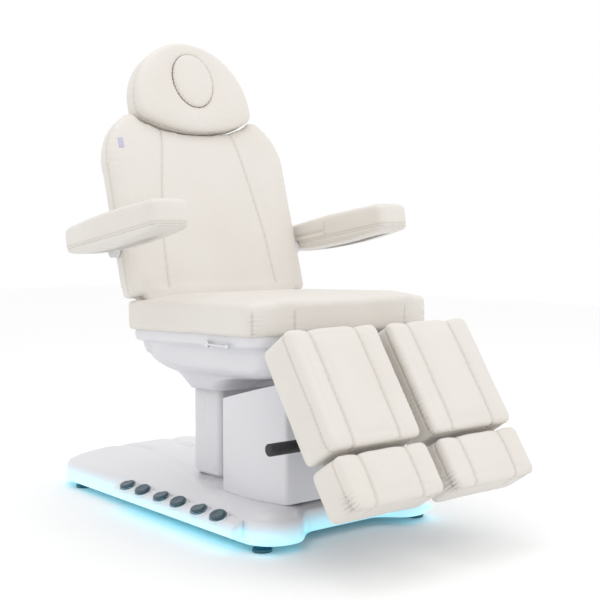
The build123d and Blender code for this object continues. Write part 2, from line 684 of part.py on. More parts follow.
# ================================================================ backrest
DIP_S = 511
SHOULDER = (192, 548)
with BuildPart() as backrest_cushion:
    with BuildSketch(back_face(BACK_CORE)):
        with BuildLine():
            Polyline((-BACK_HALF, 400), (-BACK_HALF, 30), (BACK_HALF, 30), (BACK_HALF, 400))
            ThreePointArc((BACK_HALF, 400), (285, 507), (228, 564))
            Polyline((228, 564), (205, 566), SHOULDER)
            ThreePointArc(SHOULDER, (0, DIP_S), (-SHOULDER[0], SHOULDER[1]))
            Polyline((-SHOULDER[0], SHOULDER[1]), (-205, 566), (-228, 564))
            ThreePointArc((-228, 564), (-285, 507), (-BACK_HALF, 400))
        make_face()
    extrude(amount=BACK_FRONT - BACK_CORE)
    with BuildSketch(back_side(-BACK_END_HALF)):
        Circle(BACK_END_R)
        with Locations((22, -10)):
            Rectangle(44, 60)
    extrude(amount=2 * BACK_END_HALF)
    with BuildSketch(back_side(-BACK_HALF - 5)):
        with BuildLine():
            Polyline((10, 70), (10, 42), (32, 46), (46, 58), (46, 70), close=True)
        make_face()
    extrude(amount=2 * BACK_HALF + 10, mode=Mode.SUBTRACT)
    # pockets for the hinges, the lever, the frame bars and the headrest's bars
    for xs in both(194, 266):
        with BuildSketch(back_side(xs[0])):
            with Locations((-7, -17)):
                Rectangle(114, 74)
        extrude(amount=72, mode=Mode.SUBTRACT)
    with BuildSketch(back_side(-24)):
        with Locations((-5, -20)):
            Rectangle(130, 90)
    extrude(amount=48, mode=Mode.SUBTRACT)
    for xs in both(209.5, 250.5):
        with BuildSketch(back_side(xs[0])):
            with Locations((262, -16.7)):
                Rectangle(460, 7)
        extrude(amount=41, mode=Mode.SUBTRACT)
    for s_mid, half in ((75, 251), (420, 251), (480, 213)):
        with BuildSketch(back_side(-half)):
            with Locations((s_mid, -13.3)):
                Rectangle(31, 14)
        extrude(amount=2 * half, mode=Mode.SUBTRACT)
    for xs in both(46, 74):
        with BuildSketch(back_side(xs[0])):
            with Locations((450, -16.7)):
                Rectangle(270, 7)
        extrude(amount=28, mode=Mode.SUBTRACT)
    # tunnels for the armrest pivots
    for xs in both(229, 320):
        with BuildSketch(back_side(xs[0])):
            with Locations(ARM_PIVOT):
                Circle(14.4)
        extrude(amount=91, mode=Mode.SUBTRACT)
    for xs in both(229, 245):
        with BuildSketch(back_side(xs[0])):
            with Locations((ARM_PIVOT[0], -4)):
                Rectangle(29, 34)
        extrude(amount=16, mode=Mode.SUBTRACT)
hand_in(backrest_cushion.part, "backrest_cushion")

with BuildPart() as backrest_panel:
    with BuildSketch(back_face(BACK_CORE - 0.2 - BACK_PANEL)):
        with BuildLine():
            Polyline((-292, 400), (-292, 70), (292, 70), (292, 400))
            ThreePointArc((292, 400), (272, 498), (222, 545))
            Line((222, 545), (196, 530))
            ThreePointArc((196, 530), (0, 496), (-196, 530))
            Line((-196, 530), (-222, 545))
            ThreePointArc((-222, 545), (-272, 498), (-292, 400))
        make_face()
        with Locations((0, 90)):
            Rectangle(48, 60, mode=Mode.SUBTRACT)
    extrude(amount=BACK_PANEL)
hand_in(backrest_panel.part, "backrest_panel")

BAR_DEPTH = 6
with BuildPart() as back_frame:
    for xs in both(210, 250):
        with BuildSketch(back_side(xs[0])):
            with Locations((265, BACK_CORE + BAR_DEPTH / 2)):
                Rectangle(450, BAR_DEPTH)
        extrude(amount=40)
    for s_mid, half in ((75, 250), (420, 250), (480, 212)):
        with BuildSketch(back_side(-half)):
            with Locations((s_mid, BACK_CORE + BAR_DEPTH + 3.3)):
                Rectangle(28, 6.8)
        extrude(amount=2 * half)
    # knuckles on the backrest's hinge pins
    for xs in both(207, 253):
        with BuildSketch(back_side(xs[0])):
            Circle(13)
            with BuildLine():
                Polyline((0, -13), (44, BACK_CORE), (44, BACK_CORE + BAR_DEPTH), (6, 12),
                         (-5, 0), close=True)
            make_face()
        extrude(amount=46)
        with BuildSketch(back_side(xs[0])):
            Circle(7)
        extrude(amount=46, mode=Mode.SUBTRACT)
    # tubes that carry the armrests
    for xs in both(232, 307):
        with BuildSketch(back_side(xs[0])):
            with Locations(ARM_PIVOT):
                Circle(14)
                Circle(8.05, mode=Mode.SUBTRACT)
        extrude(amount=75)
    for xs in both(232, 242):
        with BuildSketch(back_side(xs[0])):
            with Locations((ARM_PIVOT[0], -12)):
                Rectangle(27, 5)
            with Locations((ARM_PIVOT[0] - 11, -6)):
                Rectangle(5, 16)
            with Locations((ARM_PIVOT[0] + 11, -6)):
                Rectangle(5, 16)
        extrude(amount=10)
    # lever down to the back actuator
    with BuildSketch(back_side(-5)):
        with BuildLine():
            Polyline((86, BACK_CORE - 4), (86, -9), (64, -9), (58, -24), (-6, -46), LEVER_PIN,
                     (-2, -66), (60, -42), (64, BACK_CORE - 4), close=True)
        make_face()
        with Locations(LEVER_PIN):
            Circle(11)
    extrude(amount=10)
    with BuildSketch(back_side(-14)):
        with Locations(LEVER_PIN):
            Circle(6)
    extrude(amount=28)
hand_in(back_frame.part, "back_frame")

# ================================================================ armrests
for side, sign in SIDES:
    x_mid = sign * ARM_X
    with BuildPart() as arm_body:
        with BuildSketch(arm_side(x_mid)):
            with BuildLine():
                Line((-ARM_HALF_L, ARM_REAR[0]), (-ARM_HALF_L, ARM_REAR[1]))
                ThreePointArc((-ARM_HALF_L, ARM_REAR[1]), (0, ARM_MIDDLE[1]), (ARM_HALF_L, ARM_TIP[1]))
                Line((ARM_HALF_L, ARM_TIP[1]), (ARM_HALF_L, ARM_TIP[0]))
                ThreePointArc((ARM_HALF_L, ARM_TIP[0]), (0, ARM_MIDDLE[0]), (-ARM_HALF_L, ARM_REAR[0]))
            make_face()
        extrude(amount=ARM_HALF_W, both=True)
        fillet(arm_body.edges().filter_by(Axis.X), 14)
        fillet(arm_body.faces().filter_by(Axis.X).edges(), 8)
    cut = Plane(origin=(0, *ARM_MID), x_dir=(1, 0, 0), z_dir=arm_up).offset(ARM_SPLIT)
    with BuildPart() as arm_pad:
        add(arm_body.part)
        split(bisect_by=cut, keep=Keep.TOP)
    hand_in(arm_pad.part, "armrest_pad_" + side)
    with BuildPart() as arm_shell:
        add(arm_body.part)
        split(bisect_by=cut.offset(-0.2), keep=Keep.BOTTOM)
    hand_in(arm_shell.part, "armrest_shell_" + side)
    inner = ARM_X - ARM_HALF_W
    with BuildPart() as arm_bracket:
        with BuildSketch(back_side(min(sign * (inner - 15), sign * (inner - 0.2)))):
            with Locations(ARM_PIVOT):
                Circle(22)
        extrude(amount=14.8)
        with BuildSketch(back_side(min(sign * 250, sign * (inner - 10)))):
            with Locations(ARM_PIVOT):
                Circle(8)
        extrude(amount=inner - 10 - 250)
    hand_in(arm_bracket.part, "armrest_bracket_" + side)

# ================================================================ headrest
with BuildPart() as headrest_carrier:
    for xs in both(48, 72):
        with BuildSketch(back_side(xs[0])):
            with Locations((457, -17)):
                Rectangle(254, 5)
        extrude(amount=24)
    for xs in both(48, 60):
        with BuildSketch(back_side(xs[0])):
            with Locations(HEAD_HINGE):
                Circle(9)
        extrude(amount=12)
    with BuildSketch(back_side(-72)):
        with Locations((562, -17)):
            Rectangle(20, 5)
    extrude(amount=144)
    with BuildSketch(back_side(-92)):
        with Locations(HEAD_HINGE):
            Circle(4.95)
    extrude(amount=184)
hand_in(headrest_carrier.part, "headrest_carrier")

HEAD_REAR = -4
HEAD_FRONT = 66
PLUG_S = 670
PLUG_HALF = (70, 84)
with BuildPart() as headrest_cushion:
    with BuildSketch(back_face(HEAD_REAR)):
        with BuildLine():
            low_y = 560
            low_x = math.sqrt(HEAD_R**2 - (HEAD_CENTRE_S - low_y) ** 2)
            ThreePointArc((low_x, low_y), (0, HEAD_CENTRE_S + HEAD_R), (-low_x, low_y))
            ThreePointArc((-low_x, low_y), (0, 516), (low_x, low_y))
        make_face()
    extrude(amount=HEAD_FRONT - HEAD_REAR)
    fillet(headrest_cushion.edges().filter_by(back_axis), 34)
    fillet(headrest_cushion.faces().sort_by(back_axis)[-1].edges(), 14)
    with BuildSketch(back_face(HEAD_REAR - 1)):
        with Locations((0, PLUG_S)):
            Ellipse(*PLUG_HALF)
    extrude(amount=HEAD_FRONT - HEAD_REAR + 10, mode=Mode.SUBTRACT)
hand_in(headrest_cushion.part, "headrest_cushion")

with BuildPart() as headrest_board:
    with BuildSketch(back_face(HEAD_REAR - 8.2)):
        with BuildLine():
            ThreePointArc((178, 560), (0, HEAD_CENTRE_S + HEAD_R - 14), (-178, 560))
            ThreePointArc((-178, 560), (0, 532), (178, 560))
        make_face()
        with Locations((0, PLUG_S)):
            Ellipse(*PLUG_HALF, mode=Mode.SUBTRACT)
    extrude(amount=8)
    for xs in both(73.5, 90):
        with BuildSketch(back_side(xs[0])):
            with Locations(HEAD_HINGE):
                Circle(9)
            with Locations((HEAD_HINGE[0], -16)):
                Rectangle(14, 10)
        extrude(amount=16.5)
        with BuildSketch(back_side(xs[0])):
            with Locations(HEAD_HINGE):
                Circle(5)
        extrude(amount=16.5, mode=Mode.SUBTRACT)
hand_in(headrest_board.part, "headrest_board")

with BuildPart() as face_plug:
    with BuildSketch(back_face(HEAD_REAR)):
        with Locations((0, PLUG_S)):
            Ellipse(PLUG_HALF[0] - 0.8, PLUG_HALF[1] - 0.8)
    extrude(amount=HEAD_FRONT - HEAD_REAR + 8)
    fillet(face_plug.faces().sort_by(back_axis)[-1].edges(), 8)
hand_in(face_plug.part, "face_plug")

# ================================================================ leg rests
PLATE = (-34, -28.2)
RAIL_N = -43.5
RAIL_DX = 60
HANDLE_PIVOT = (185, -62)
HANDLE_AT = (221, -92)
for side, sign in SIDES:
    x_mid = sign * LEG_X
    with BuildPart() as leg_cushion:
        with BuildSketch(leg_side(x_mid)):
            with Locations(((LEG_NEAR_T + LEG_FAR_T) / 2, (PAD_REAR + PAD_FRONT) / 2)):
                Rectangle(LEG_FAR_T - LEG_NEAR_T, PAD_FRONT - PAD_REAR)
        extrude(amount=LEG_HALF, both=True)
        fillet(leg_cushion.edges(), 14)
        with BuildSketch(leg_side(x_mid)):
            Circle(16)
        extrude(amount=74, both=True, mode=Mode.SUBTRACT)
    hand_in(leg_cushion.part, "leg_cushion_" + side)

    with BuildPart() as leg_frame:
        with BuildSketch(leg_side(x_mid)):
            with Locations((147, sum(PLATE) / 2)):
                Rectangle(286, PLATE[1] - PLATE[0])
        extrude(amount=112, both=True)
        with BuildSketch(leg_side(x_mid)):
            Circle(10.5)
            with BuildLine():
                Polyline((-9, 0), (-9, -34), (8, -34), (8, -28.2), (4, -26), (4, 0), close=True)
            make_face()
        extrude(amount=53, both=True)
        with BuildSketch(leg_side(x_mid)):
            Circle(6)
        extrude(amount=60, both=True, mode=Mode.SUBTRACT)
        # guide tubes of the foot rest's rails
        for dx in (-RAIL_DX, RAIL_DX):
            guide_plane = Plane(origin=Vector(x_mid + dx, *LEG_PIVOT) + leg_dir * 170 + leg_out * RAIL_N,
                                x_dir=(1, 0, 0), z_dir=leg_dir)
            with BuildSketch(guide_plane):
                Circle(10)
            extrude(amount=118)
            with BuildSketch(guide_plane):
                Circle(6.05)
            extrude(amount=118, mode=Mode.SUBTRACT)
        # ears of the release handle
        for dx in (-12, 8):
            with BuildSketch(leg_side(x_mid + dx + 4)):
                with BuildLine():
                    Polyline((168, -33), (202, -33), (194, HANDLE_PIVOT[1]),
                             (176, HANDLE_PIVOT[1]), close=True)
                make_face()
                with Locations(HANDLE_PIVOT):
                    Circle(9)
                    Circle(4.05, mode=Mode.SUBTRACT)
            extrude(amount=4)
    hand_in(leg_frame.part, "leg_frame_" + side)

    with BuildPart() as leg_handle:
        with BuildSketch(leg_side(x_mid)):
            with BuildLine():
                Polyline((178, -56), (192, -56), (227, -88), (215, -98), close=True)
            make_face()
        extrude(amount=5, both=True)
        with BuildSketch(leg_side(x_mid)):
            with Locations(HANDLE_PIVOT):
                Circle(4)
        extrude(amount=15, both=True)
        with BuildSketch(leg_side(max(sign * (LEG_X - 8), sign * 318))):
            with Locations(HANDLE_AT):
                Circle(5)
        extrude(amount=318 - LEG_X + 8)
    hand_in(leg_handle.part, "leg_handle_" + side)

    with BuildPart() as leg_grip:
        with BuildSketch(leg_side(max(sign * 234, sign * 325))):
            with Locations(HANDLE_AT):
                Circle(15)
        extrude(amount=91)
        fillet(leg_grip.edges().filter_by(GeomType.CIRCLE), 3)
        with BuildSketch(leg_side(max(sign * 233, sign * 318))):
            with Locations(HANDLE_AT):
                Circle(5)
        extrude(amount=85, mode=Mode.SUBTRACT)
    hand_in(leg_grip.part, "leg_grip_" + side)

    with BuildPart() as foot_cushion:
        with BuildSketch(leg_side(x_mid)):
            with Locations(((FOOT_NEAR_T + FOOT_FAR_T) / 2, (PAD_REAR + PAD_FRONT) / 2 + 3)):
                Rectangle(FOOT_FAR_T - FOOT_NEAR_T, PAD_FRONT - PAD_REAR - 6)
        extrude(amount=LEG_HALF, both=True)
        fillet(foot_cushion.edges(), 14)
    hand_in(foot_cushion.part, "foot_cushion_" + side)

    with BuildPart() as foot_frame:
        with BuildSketch(leg_side(x_mid)):
            with Locations(((FOOT_NEAR_T + FOOT_FAR_T) / 2, -25.2)):
                Rectangle(FOOT_FAR_T - FOOT_NEAR_T - 30, 6)
        extrude(amount=112, both=True)
        for dx in (-RAIL_DX, RAIL_DX):
            rail_plane = Plane(origin=Vector(x_mid + dx, *LEG_PIVOT) + leg_dir * 150 + leg_out * RAIL_N,
                               x_dir=(1, 0, 0), z_dir=leg_dir)
            with BuildSketch(rail_plane):
                Circle(6)
            extrude(amount=270)
            with BuildSketch(leg_side(x_mid + dx)):
                with Locations((345, -37.5), (410, -37.5)):
                    Rectangle(18, 20)
            extrude(amount=9, both=True)
    hand_in(foot_frame.part, "foot_frame_" + side)
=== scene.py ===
import json
import math

import bmesh
import bpy
import numpy as np
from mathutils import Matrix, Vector, noise
from mathutils.bvhtree import BVHTree
from mathutils.kdtree import KDTree

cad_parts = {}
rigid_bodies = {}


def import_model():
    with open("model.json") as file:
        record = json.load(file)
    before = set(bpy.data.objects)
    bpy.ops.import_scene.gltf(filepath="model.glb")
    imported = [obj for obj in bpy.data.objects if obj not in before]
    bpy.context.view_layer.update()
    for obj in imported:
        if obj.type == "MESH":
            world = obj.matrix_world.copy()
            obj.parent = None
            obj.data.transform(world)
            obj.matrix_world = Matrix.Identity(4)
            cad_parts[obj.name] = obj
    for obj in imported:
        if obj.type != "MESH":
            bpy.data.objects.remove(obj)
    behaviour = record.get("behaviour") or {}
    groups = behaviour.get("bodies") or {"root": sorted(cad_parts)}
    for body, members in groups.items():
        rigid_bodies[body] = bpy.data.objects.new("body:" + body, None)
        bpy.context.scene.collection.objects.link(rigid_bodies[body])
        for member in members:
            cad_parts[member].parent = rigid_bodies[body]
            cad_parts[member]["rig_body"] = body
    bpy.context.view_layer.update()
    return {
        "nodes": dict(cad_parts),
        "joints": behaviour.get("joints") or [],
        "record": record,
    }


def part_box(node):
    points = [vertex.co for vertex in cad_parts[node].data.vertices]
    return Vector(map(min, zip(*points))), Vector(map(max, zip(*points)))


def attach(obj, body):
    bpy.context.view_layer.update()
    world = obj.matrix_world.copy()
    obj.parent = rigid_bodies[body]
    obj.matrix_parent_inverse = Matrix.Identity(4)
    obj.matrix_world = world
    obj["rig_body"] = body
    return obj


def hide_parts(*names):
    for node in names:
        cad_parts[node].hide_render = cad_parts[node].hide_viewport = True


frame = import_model()
nodes = frame["nodes"]
joints = {joint["name"]: joint for joint in frame["joints"]}

# ---------------------------------------------------------------- directions, from the joints
ACROSS = Vector((1, 0, 0))
UP = Vector((0, 0, 1))
leg_hinge = Vector(joints["leg_right_raise"]["pos_m"])
leg_down = Vector(joints["foot_right_extend"]["axis"])
leg_out = leg_down.cross(ACROSS)
back_hinge = Vector((0, *joints["back_recline"]["pos_m"][1:]))
back_up = Vector(joints["headrest_height"]["axis"])
back_out = ACROSS.cross(back_up)

SEAT_PITCH = math.radians(1.72)
seat_base = Vector((0, -0.047, 0.5105))
seat_back = Vector((0, math.cos(SEAT_PITCH), -math.sin(SEAT_PITCH)))
seat_up = Vector((0, math.sin(SEAT_PITCH), math.cos(SEAT_PITCH)))
ARM_PITCH = math.radians(8.5)
arm_mid = Vector((0, 0.123, 0.780))
arm_front = Vector((0, -math.cos(ARM_PITCH), math.sin(ARM_PITCH)))
arm_up = Vector((0, math.sin(ARM_PITCH), math.cos(ARM_PITCH)))
ARM_X = 0.38
LEG_X = 0.16

# ---------------------------------------------------------------- colours, linear
CREAM = (0.765, 0.73, 0.685)
THREAD = (0.74, 0.695, 0.64)
WHITE = (0.745, 0.738, 0.765)
CYAN = (0.12, 0.78, 1.0)
SLATE = (0.045, 0.085, 0.115)
TEAL = (0.012, 0.10, 0.14)


# ---------------------------------------------------------------- materials
def material(name, colour, roughness, metallic=0.0, coat=0.0):
    made = bpy.data.materials.new(name)
    made.use_nodes = True
    shader = made.node_tree.nodes["Principled BSDF"]
    shader.inputs["Base Color"].default_value = (*colour, 1)
    shader.inputs["Roughness"].default_value = roughness
    shader.inputs["Metallic"].default_value = metallic
    shader.inputs["Coat Weight"].default_value = coat
    return made


def shader_of(made):
    return made.node_tree.nodes["Principled BSDF"]


def add(made, kind, **inputs):
    added = made.node_tree.nodes.new("ShaderNode" + kind)
    for name, value in inputs.items():
        added.inputs[name].default_value = value
    return added


def link(made, source, output, target, socket):
    made.node_tree.links.new(source.outputs[output], target.inputs[socket])


def pattern(made, kind, **inputs):
    """A texture laid over the object's own coordinates, in metres."""
    place = add(made, "TexCoord")
    texture = add(made, kind, **inputs)
    link(made, place, "Object", texture, "Vector")
    return texture


def ramp(made, source, output, low, high, dark, light):
    """Two colours mixed by a texture between two of its values."""
    mixed = add(made, "ValToRGB")
    mixed.color_ramp.elements[0].position = low
    mixed.color_ramp.elements[1].position = high
    mixed.color_ramp.elements[0].color = (*dark, 1)
    mixed.color_ramp.elements[1].color = (*light, 1)
    link(made, source, output, mixed, "Fac")
    return mixed


def spread(made, source, output, low, high):
    """A texture's value mapped to a range."""
    mapped = add(made, "MapRange")
    mapped.inputs["To Min"].default_value = low
    mapped.inputs["To Max"].default_value = high
    link(made, source, output, mapped, "Value")
    return mapped


def relief(made, source, output, strength, distance, under=None):
    raised = add(made, "Bump", Strength=strength, Distance=distance)
    link(made, source, output, raised, "Height")
    if under:
        link(made, under, "Normal", raised, "Normal")
    return raised


def moulded(name, colour, roughness, texture=0.06):
    """Moulded plastic: faint cloudiness, slightly uneven gloss and a fine moulded skin."""
    made = material(name, colour, roughness, coat=0.12)
    shader_of(made).inputs["Coat Roughness"].default_value = 0.2
    clouds = pattern(made, "TexNoise", Scale=2.0, Detail=1.0)
    shade = tuple(c * 0.975 for c in colour)
    mixed = ramp(made, clouds, "Fac", 0.25, 0.75, shade, colour)
    link(made, mixed, "Color", shader_of(made), "Base Color")
    smears = pattern(made, "TexNoise", Scale=4.0, Detail=1.0)
    gloss = spread(made, smears, "Fac", roughness - 0.03, roughness + 0.04)
    link(made, gloss, "Result", shader_of(made), "Roughness")
    skin = pattern(made, "TexNoise", Scale=900.0, Detail=2.0)
    fine = relief(made, skin, "Fac", texture, 0.0002)
    link(made, fine, "Normal", shader_of(made), "Normal")
    return made


def leatherette(name, colour):
    """Upholstery leatherette: pebbled grain, soft creases, painted shade along the seams."""
    made = material(name, colour, 0.48, coat=0.06)
    shader_of(made).inputs["Coat Roughness"].default_value = 0.35
    shader_of(made).inputs["Sheen Weight"].default_value = 0.08
    clouds = pattern(made, "TexNoise", Scale=5.0, Detail=6.0)
    shade = tuple(c * f for c, f in zip(colour, (0.965, 0.955, 0.94)))
    hide = ramp(made, clouds, "Fac", 0.3, 0.7, shade, colour)
    crease = add(made, "Attribute")
    crease.attribute_name = "crease"
    # painted shade along the seams: a darker, warmer cream mixed in where the crease attribute is high
    blend = add(made, "Mix")
    blend.data_type = "RGBA"
    blend.inputs[7].default_value = (*(c * f for c, f in zip(colour, (0.80, 0.77, 0.72))), 1)
    painted_seam_shade = spread(made, crease, "Fac", 0.0, 0.8)
    link(made, painted_seam_shade, "Result", blend, 0)
    made.node_tree.links.new(hide.outputs["Color"], blend.inputs[6])
    made.node_tree.links.new(blend.outputs[2], shader_of(made).inputs["Base Color"])
    pebbles = pattern(made, "TexVoronoi", Scale=620.0)
    pores = pattern(made, "TexNoise", Scale=1500.0, Detail=2.0)
    folds = pattern(made, "TexNoise", Scale=34.0, Detail=5.0, Distortion=0.6)
    gloss = spread(made, folds, "Fac", 0.42, 0.56)
    link(made, gloss, "Result", shader_of(made), "Roughness")
    soft = relief(made, folds, "Fac", 0.10, 0.004)
    grain = relief(made, pebbles, "Distance", 0.22, 0.0004, soft)
    fine = relief(made, pores, "Fac", 0.10, 0.0002, grain)
    link(made, fine, "Normal", shader_of(made), "Normal")
    return made


def brushed(name, colour, roughness):
    """Metal with fine drawn lines and a little uneven polish."""
    made = material(name, colour, roughness, metallic=1.0)
    lines = pattern(made, "TexWave", Scale=160.0, Distortion=3.0, Detail=3.0)
    smears = pattern(made, "TexNoise", Scale=30.0, Detail=4.0)
    gloss = spread(made, smears, "Fac", roughness - 0.08, roughness + 0.12)
    link(made, gloss, "Result", shader_of(made), "Roughness")
    fine = relief(made, lines, "Fac", 0.04, 0.0003)
    link(made, fine, "Normal", shader_of(made), "Normal")
    return made


def glowing(made, top, bottom, strength):
    """Light coming through the moulding's lower edge, fading out upwards."""
    place = add(made, "TexCoord")
    split = add(made, "SeparateXYZ")
    link(made, place, "Object", split, "Vector")
    fade = add(made, "MapRange")
    fade.interpolation_type = "SMOOTHERSTEP"
    fade.inputs["From Min"].default_value = top
    fade.inputs["From Max"].default_value = bottom
    fade.inputs["To Max"].default_value = strength
    link(made, split, "Z", fade, "Value")
    link(made, fade, "Result", shader_of(made), "Emission Strength")
    shader_of(made).inputs["Emission Color"].default_value = (*CYAN, 1)
    return made


cream = leatherette("cream_leatherette", CREAM)
thread = moulded("sewing_thread", THREAD, 0.6, 0.3)
white = moulded("white_moulding", WHITE, 0.28)
lit_white = glowing(moulded("white_moulding_lit", WHITE, 0.28), 0.085, 0.015, 0.65)
bar_white = glowing(moulded("pedal_bar_lit", WHITE, 0.35), 0.080, 0.030, 0.7)
paint = moulded("frame_paint", (0.55, 0.56, 0.58), 0.4, 0.2)
black = moulded("black_moulding", (0.02, 0.02, 0.022), 0.4, 0.3)
grip = moulded("grip_rubber", (0.018, 0.018, 0.02), 0.55, 0.6)
slate = moulded("pedal_rubber", SLATE, 0.42, 0.4)
teal = moulded("foot_moulding", TEAL, 0.35, 0.3)
cream_shell = moulded("cream_moulding", tuple(c * 0.97 for c in CREAM), 0.42)
lilac = moulded("tag_weave", (0.55, 0.53, 0.66), 0.6, 0.4)
wood = moulded("board_plywood", (0.45, 0.31, 0.18), 0.7, 0.5)
steel = brushed("zinc_steel", (0.55, 0.55, 0.56), 0.35)
chrome = brushed("chrome", (0.75, 0.76, 0.78), 0.14)
led = moulded("led_diffuser", (0.6, 0.95, 1.0), 0.5)
shader_of(led).inputs["Emission Color"].default_value = (*CYAN, 1)
shader_of(led).inputs["Emission Strength"].default_value = 1.6

FINISH = {
    "leatherette": cream, "cover_plastic": white, "panel_plastic": white, "frame_paint": paint,
    "steel": steel, "chrome": chrome, "grip_rubber": grip, "pedal_rubber": slate,
    "foot_plastic": teal, "led_diffuser": led, "black_plastic": black, "board_wood": wood,
}
for part in frame["record"]["subparts"]:
    carried = nodes[part["node"]].data.materials
    carried.clear()
    carried.append(FINISH[part["material_slot"]])
nodes["pedal_bar"].data.materials[0] = bar_white


# ---------------------------------------------------------------- mesh helpers
def new_piece(name, mesh, finish, body):
    piece = bpy.data.objects.new(name, mesh)
    bpy.context.collection.objects.link(piece)
    mesh.materials.append(finish)
    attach(piece, body)
    return piece


def mesh_from(name, build):
    bmesh.ops.recalc_face_normals(build, faces=build.faces)
    mesh = bpy.data.meshes.new(name)
    build.to_mesh(mesh)
    build.free()
    mesh.shade_smooth()
    return mesh


def read(mesh, what="co"):
    flat = np.empty(len(mesh.vertices) * 3)
    mesh.vertices.foreach_get(what, flat)
    return flat.reshape(-1, 3)


def write(mesh, points):
    mesh.vertices.foreach_set("co", points.ravel())
    mesh.update()


def bake(piece):
    """Replaces the piece's mesh by what its modifiers make of it."""
    evaluated = piece.evaluated_get(bpy.context.evaluated_depsgraph_get())
    baked = bpy.data.meshes.new_from_object(evaluated)
    piece.modifiers.clear()
    piece.data = baked
    baked.shade_smooth()


def refine(piece):
    """Subdivides the piece once, after any other modifiers on it."""
    finer = piece.modifiers.new("finer", "SUBSURF")
    finer.levels = 1
    bake(piece)


def arc(start, middle, end, count):
    """Points from start to end on the circle through middle, without the last one."""
    (ax, ay), (bx, by), (cx, cy) = start, middle, end
    d = 2 * (ax * (by - cy) + bx * (cy - ay) + cx * (ay - by))
    ux = ((ax**2 + ay**2) * (by - cy) + (bx**2 + by**2) * (cy - ay) + (cx**2 + cy**2) * (ay - by)) / d
    uy = ((ax**2 + ay**2) * (cx - bx) + (bx**2 + by**2) * (ax - cx) + (cx**2 + cy**2) * (bx - ax)) / d
    radius = math.hypot(ax - ux, ay - uy)
    angles = [math.atan2(y - uy, x - ux) for x, y in (start, middle, end)]
    turn = (angles[2] - angles[0]) % (2 * math.pi)
    if (angles[1] - angles[0]) % (2 * math.pi) > turn:
        turn -= 2 * math.pi
    return [(ux + radius * math.cos(angles[0] + turn * k / count),
             uy + radius * math.sin(angles[0] + turn * k / count)) for k in range(count)]


def prism(build, outline, origin, along, across, low, high):
    """Closed prism over an outline, between two heights along the outline's normal."""
    normal = along.cross(across)
    rings = []
    for level in (low, high):
        rings.append([build.verts.new(origin + along * a + across * b + normal * level)
                      for a, b in outline])
    build.faces.new(rings[0][::-1])
    build.faces.new(rings[1])
    for k in range(len(outline)):
        after = (k + 1) % len(outline)
        build.faces.new((rings[0][k], rings[0][after], rings[1][after], rings[1][k]))


# ---------------------------------------------------------------- upholstery
STEP = 0.002  # spacing of the points along a seam
SEAM_TO_STITCH = 0.0035
ONE_SIDE = (SEAM_TO_STITCH,)
BOTH_SIDES = (-SEAM_TO_STITCH, SEAM_TO_STITCH)
LEFT_FROM_RIGHT = np.array((-1, 1, 1))


def welded(source):
    """A bmesh of a CAD node with its faces joined along their edges."""
    build = bmesh.new()
    build.from_mesh(nodes[source].data)
    bmesh.ops.remove_doubles(build, verts=build.verts, dist=0.00001)
    return build


FULLNESS = 0.62  # share of a cushion's swelling that reaches its edges
CLOTH_FRAMES = 12
CLOTH_PRESSURE = 6.0
SLIDE_CAP = 0.003  # furthest that a point moves along the surface
RAYS = 720  # points found round a girdle


def upholster(name, build, body, voxel, inset, cap, hold, soften=6):
    """A stuffed cushion from a closed shape: remeshed, drawn in, blown up by cloth pressure.
    hold(points, normals) is how much of its swelling each point keeps, from 0 to 1."""
    mesh = mesh_from(name, build)
    piece = new_piece(name, mesh, cream, body)
    remesh = piece.modifiers.new("remesh", "REMESH")
    remesh.mode = "VOXEL"
    remesh.voxel_size = voxel
    rounded = piece.modifiers.new("rounded", "SMOOTH")
    rounded.factor = 0.5
    rounded.iterations = soften
    bake(piece)
    rest = read(piece.data) - read(piece.data, "normal") * inset
    write(piece.data, rest)
    outward = read(piece.data, "normal")
    cloth = piece.modifiers.new("cloth", "CLOTH")
    cloth.settings.use_pressure = True
    cloth.settings.uniform_pressure_force = CLOTH_PRESSURE
    cloth.settings.effector_weights.gravity = 0.0
    cloth.point_cache.frame_start = 1
    cloth.point_cache.frame_end = CLOTH_FRAMES
    for number in range(1, CLOTH_FRAMES + 1):
        bpy.context.scene.frame_set(number)
    evaluated = piece.evaluated_get(bpy.context.evaluated_depsgraph_get())
    move = read(evaluated.data) - rest
    piece.modifiers.clear()
    bpy.context.scene.frame_set(1)
    rise = (move * outward).sum(axis=1)
    slide = move - outward * rise[:, None]
    drift = np.linalg.norm(slide, axis=1)
    slide *= np.minimum(0.4, SLIDE_CAP / np.maximum(drift, 1e-9))[:, None]
    dome = np.tanh(1.6 * np.clip(rise / np.percentile(rise, 99), 0, 1.2)) / math.tanh(1.6)
    crown = cap * (FULLNESS + (1 - FULLNESS) * dome)
    kept = hold(rest, outward)
    write(piece.data, rest + outward * (crown * kept)[:, None] + slide * kept[:, None])
    refine(piece)
    # crease holds the painted shade along the seams, filled in by sew
    piece.data.attributes.new("crease", "FLOAT", "POINT")
    return piece


def surface(piece):
    build = bmesh.new()
    build.from_mesh(piece.data)
    tree = BVHTree.FromBMesh(build)
    build.free()
    return tree


def even(points):
    """Points every STEP along a line."""
    line = np.array(points)
    runs = np.r_[0, np.cumsum(np.linalg.norm(np.diff(line, axis=0), axis=1))]
    marks = np.arange(0, runs[-1], STEP)
    return np.stack([np.interp(marks, runs, line[:, k]) for k in range(3)], axis=1)


def traced(piece, guides, toward):
    """The guide line laid onto the piece, looking along toward."""
    tree = surface(piece)
    found = []
    for point in even(guides):
        hit = tree.ray_cast(Vector(point) - toward * 0.15, toward)[0]
        if hit:
            found.append(hit)
    return even(found)


def girdle(piece, centre, first, second):
    """The line round the piece in the plane of two directions."""
    tree = surface(piece)
    ring = []
    for k in range(RAYS):
        angle = 2 * math.pi * k / RAYS
        ray = first * math.cos(angle) + second * math.sin(angle)
        hit = tree.ray_cast(centre + ray * 0.8, -ray)[0]
        if hit:
            ring.append(hit)
    return even(ring + ring[:1])


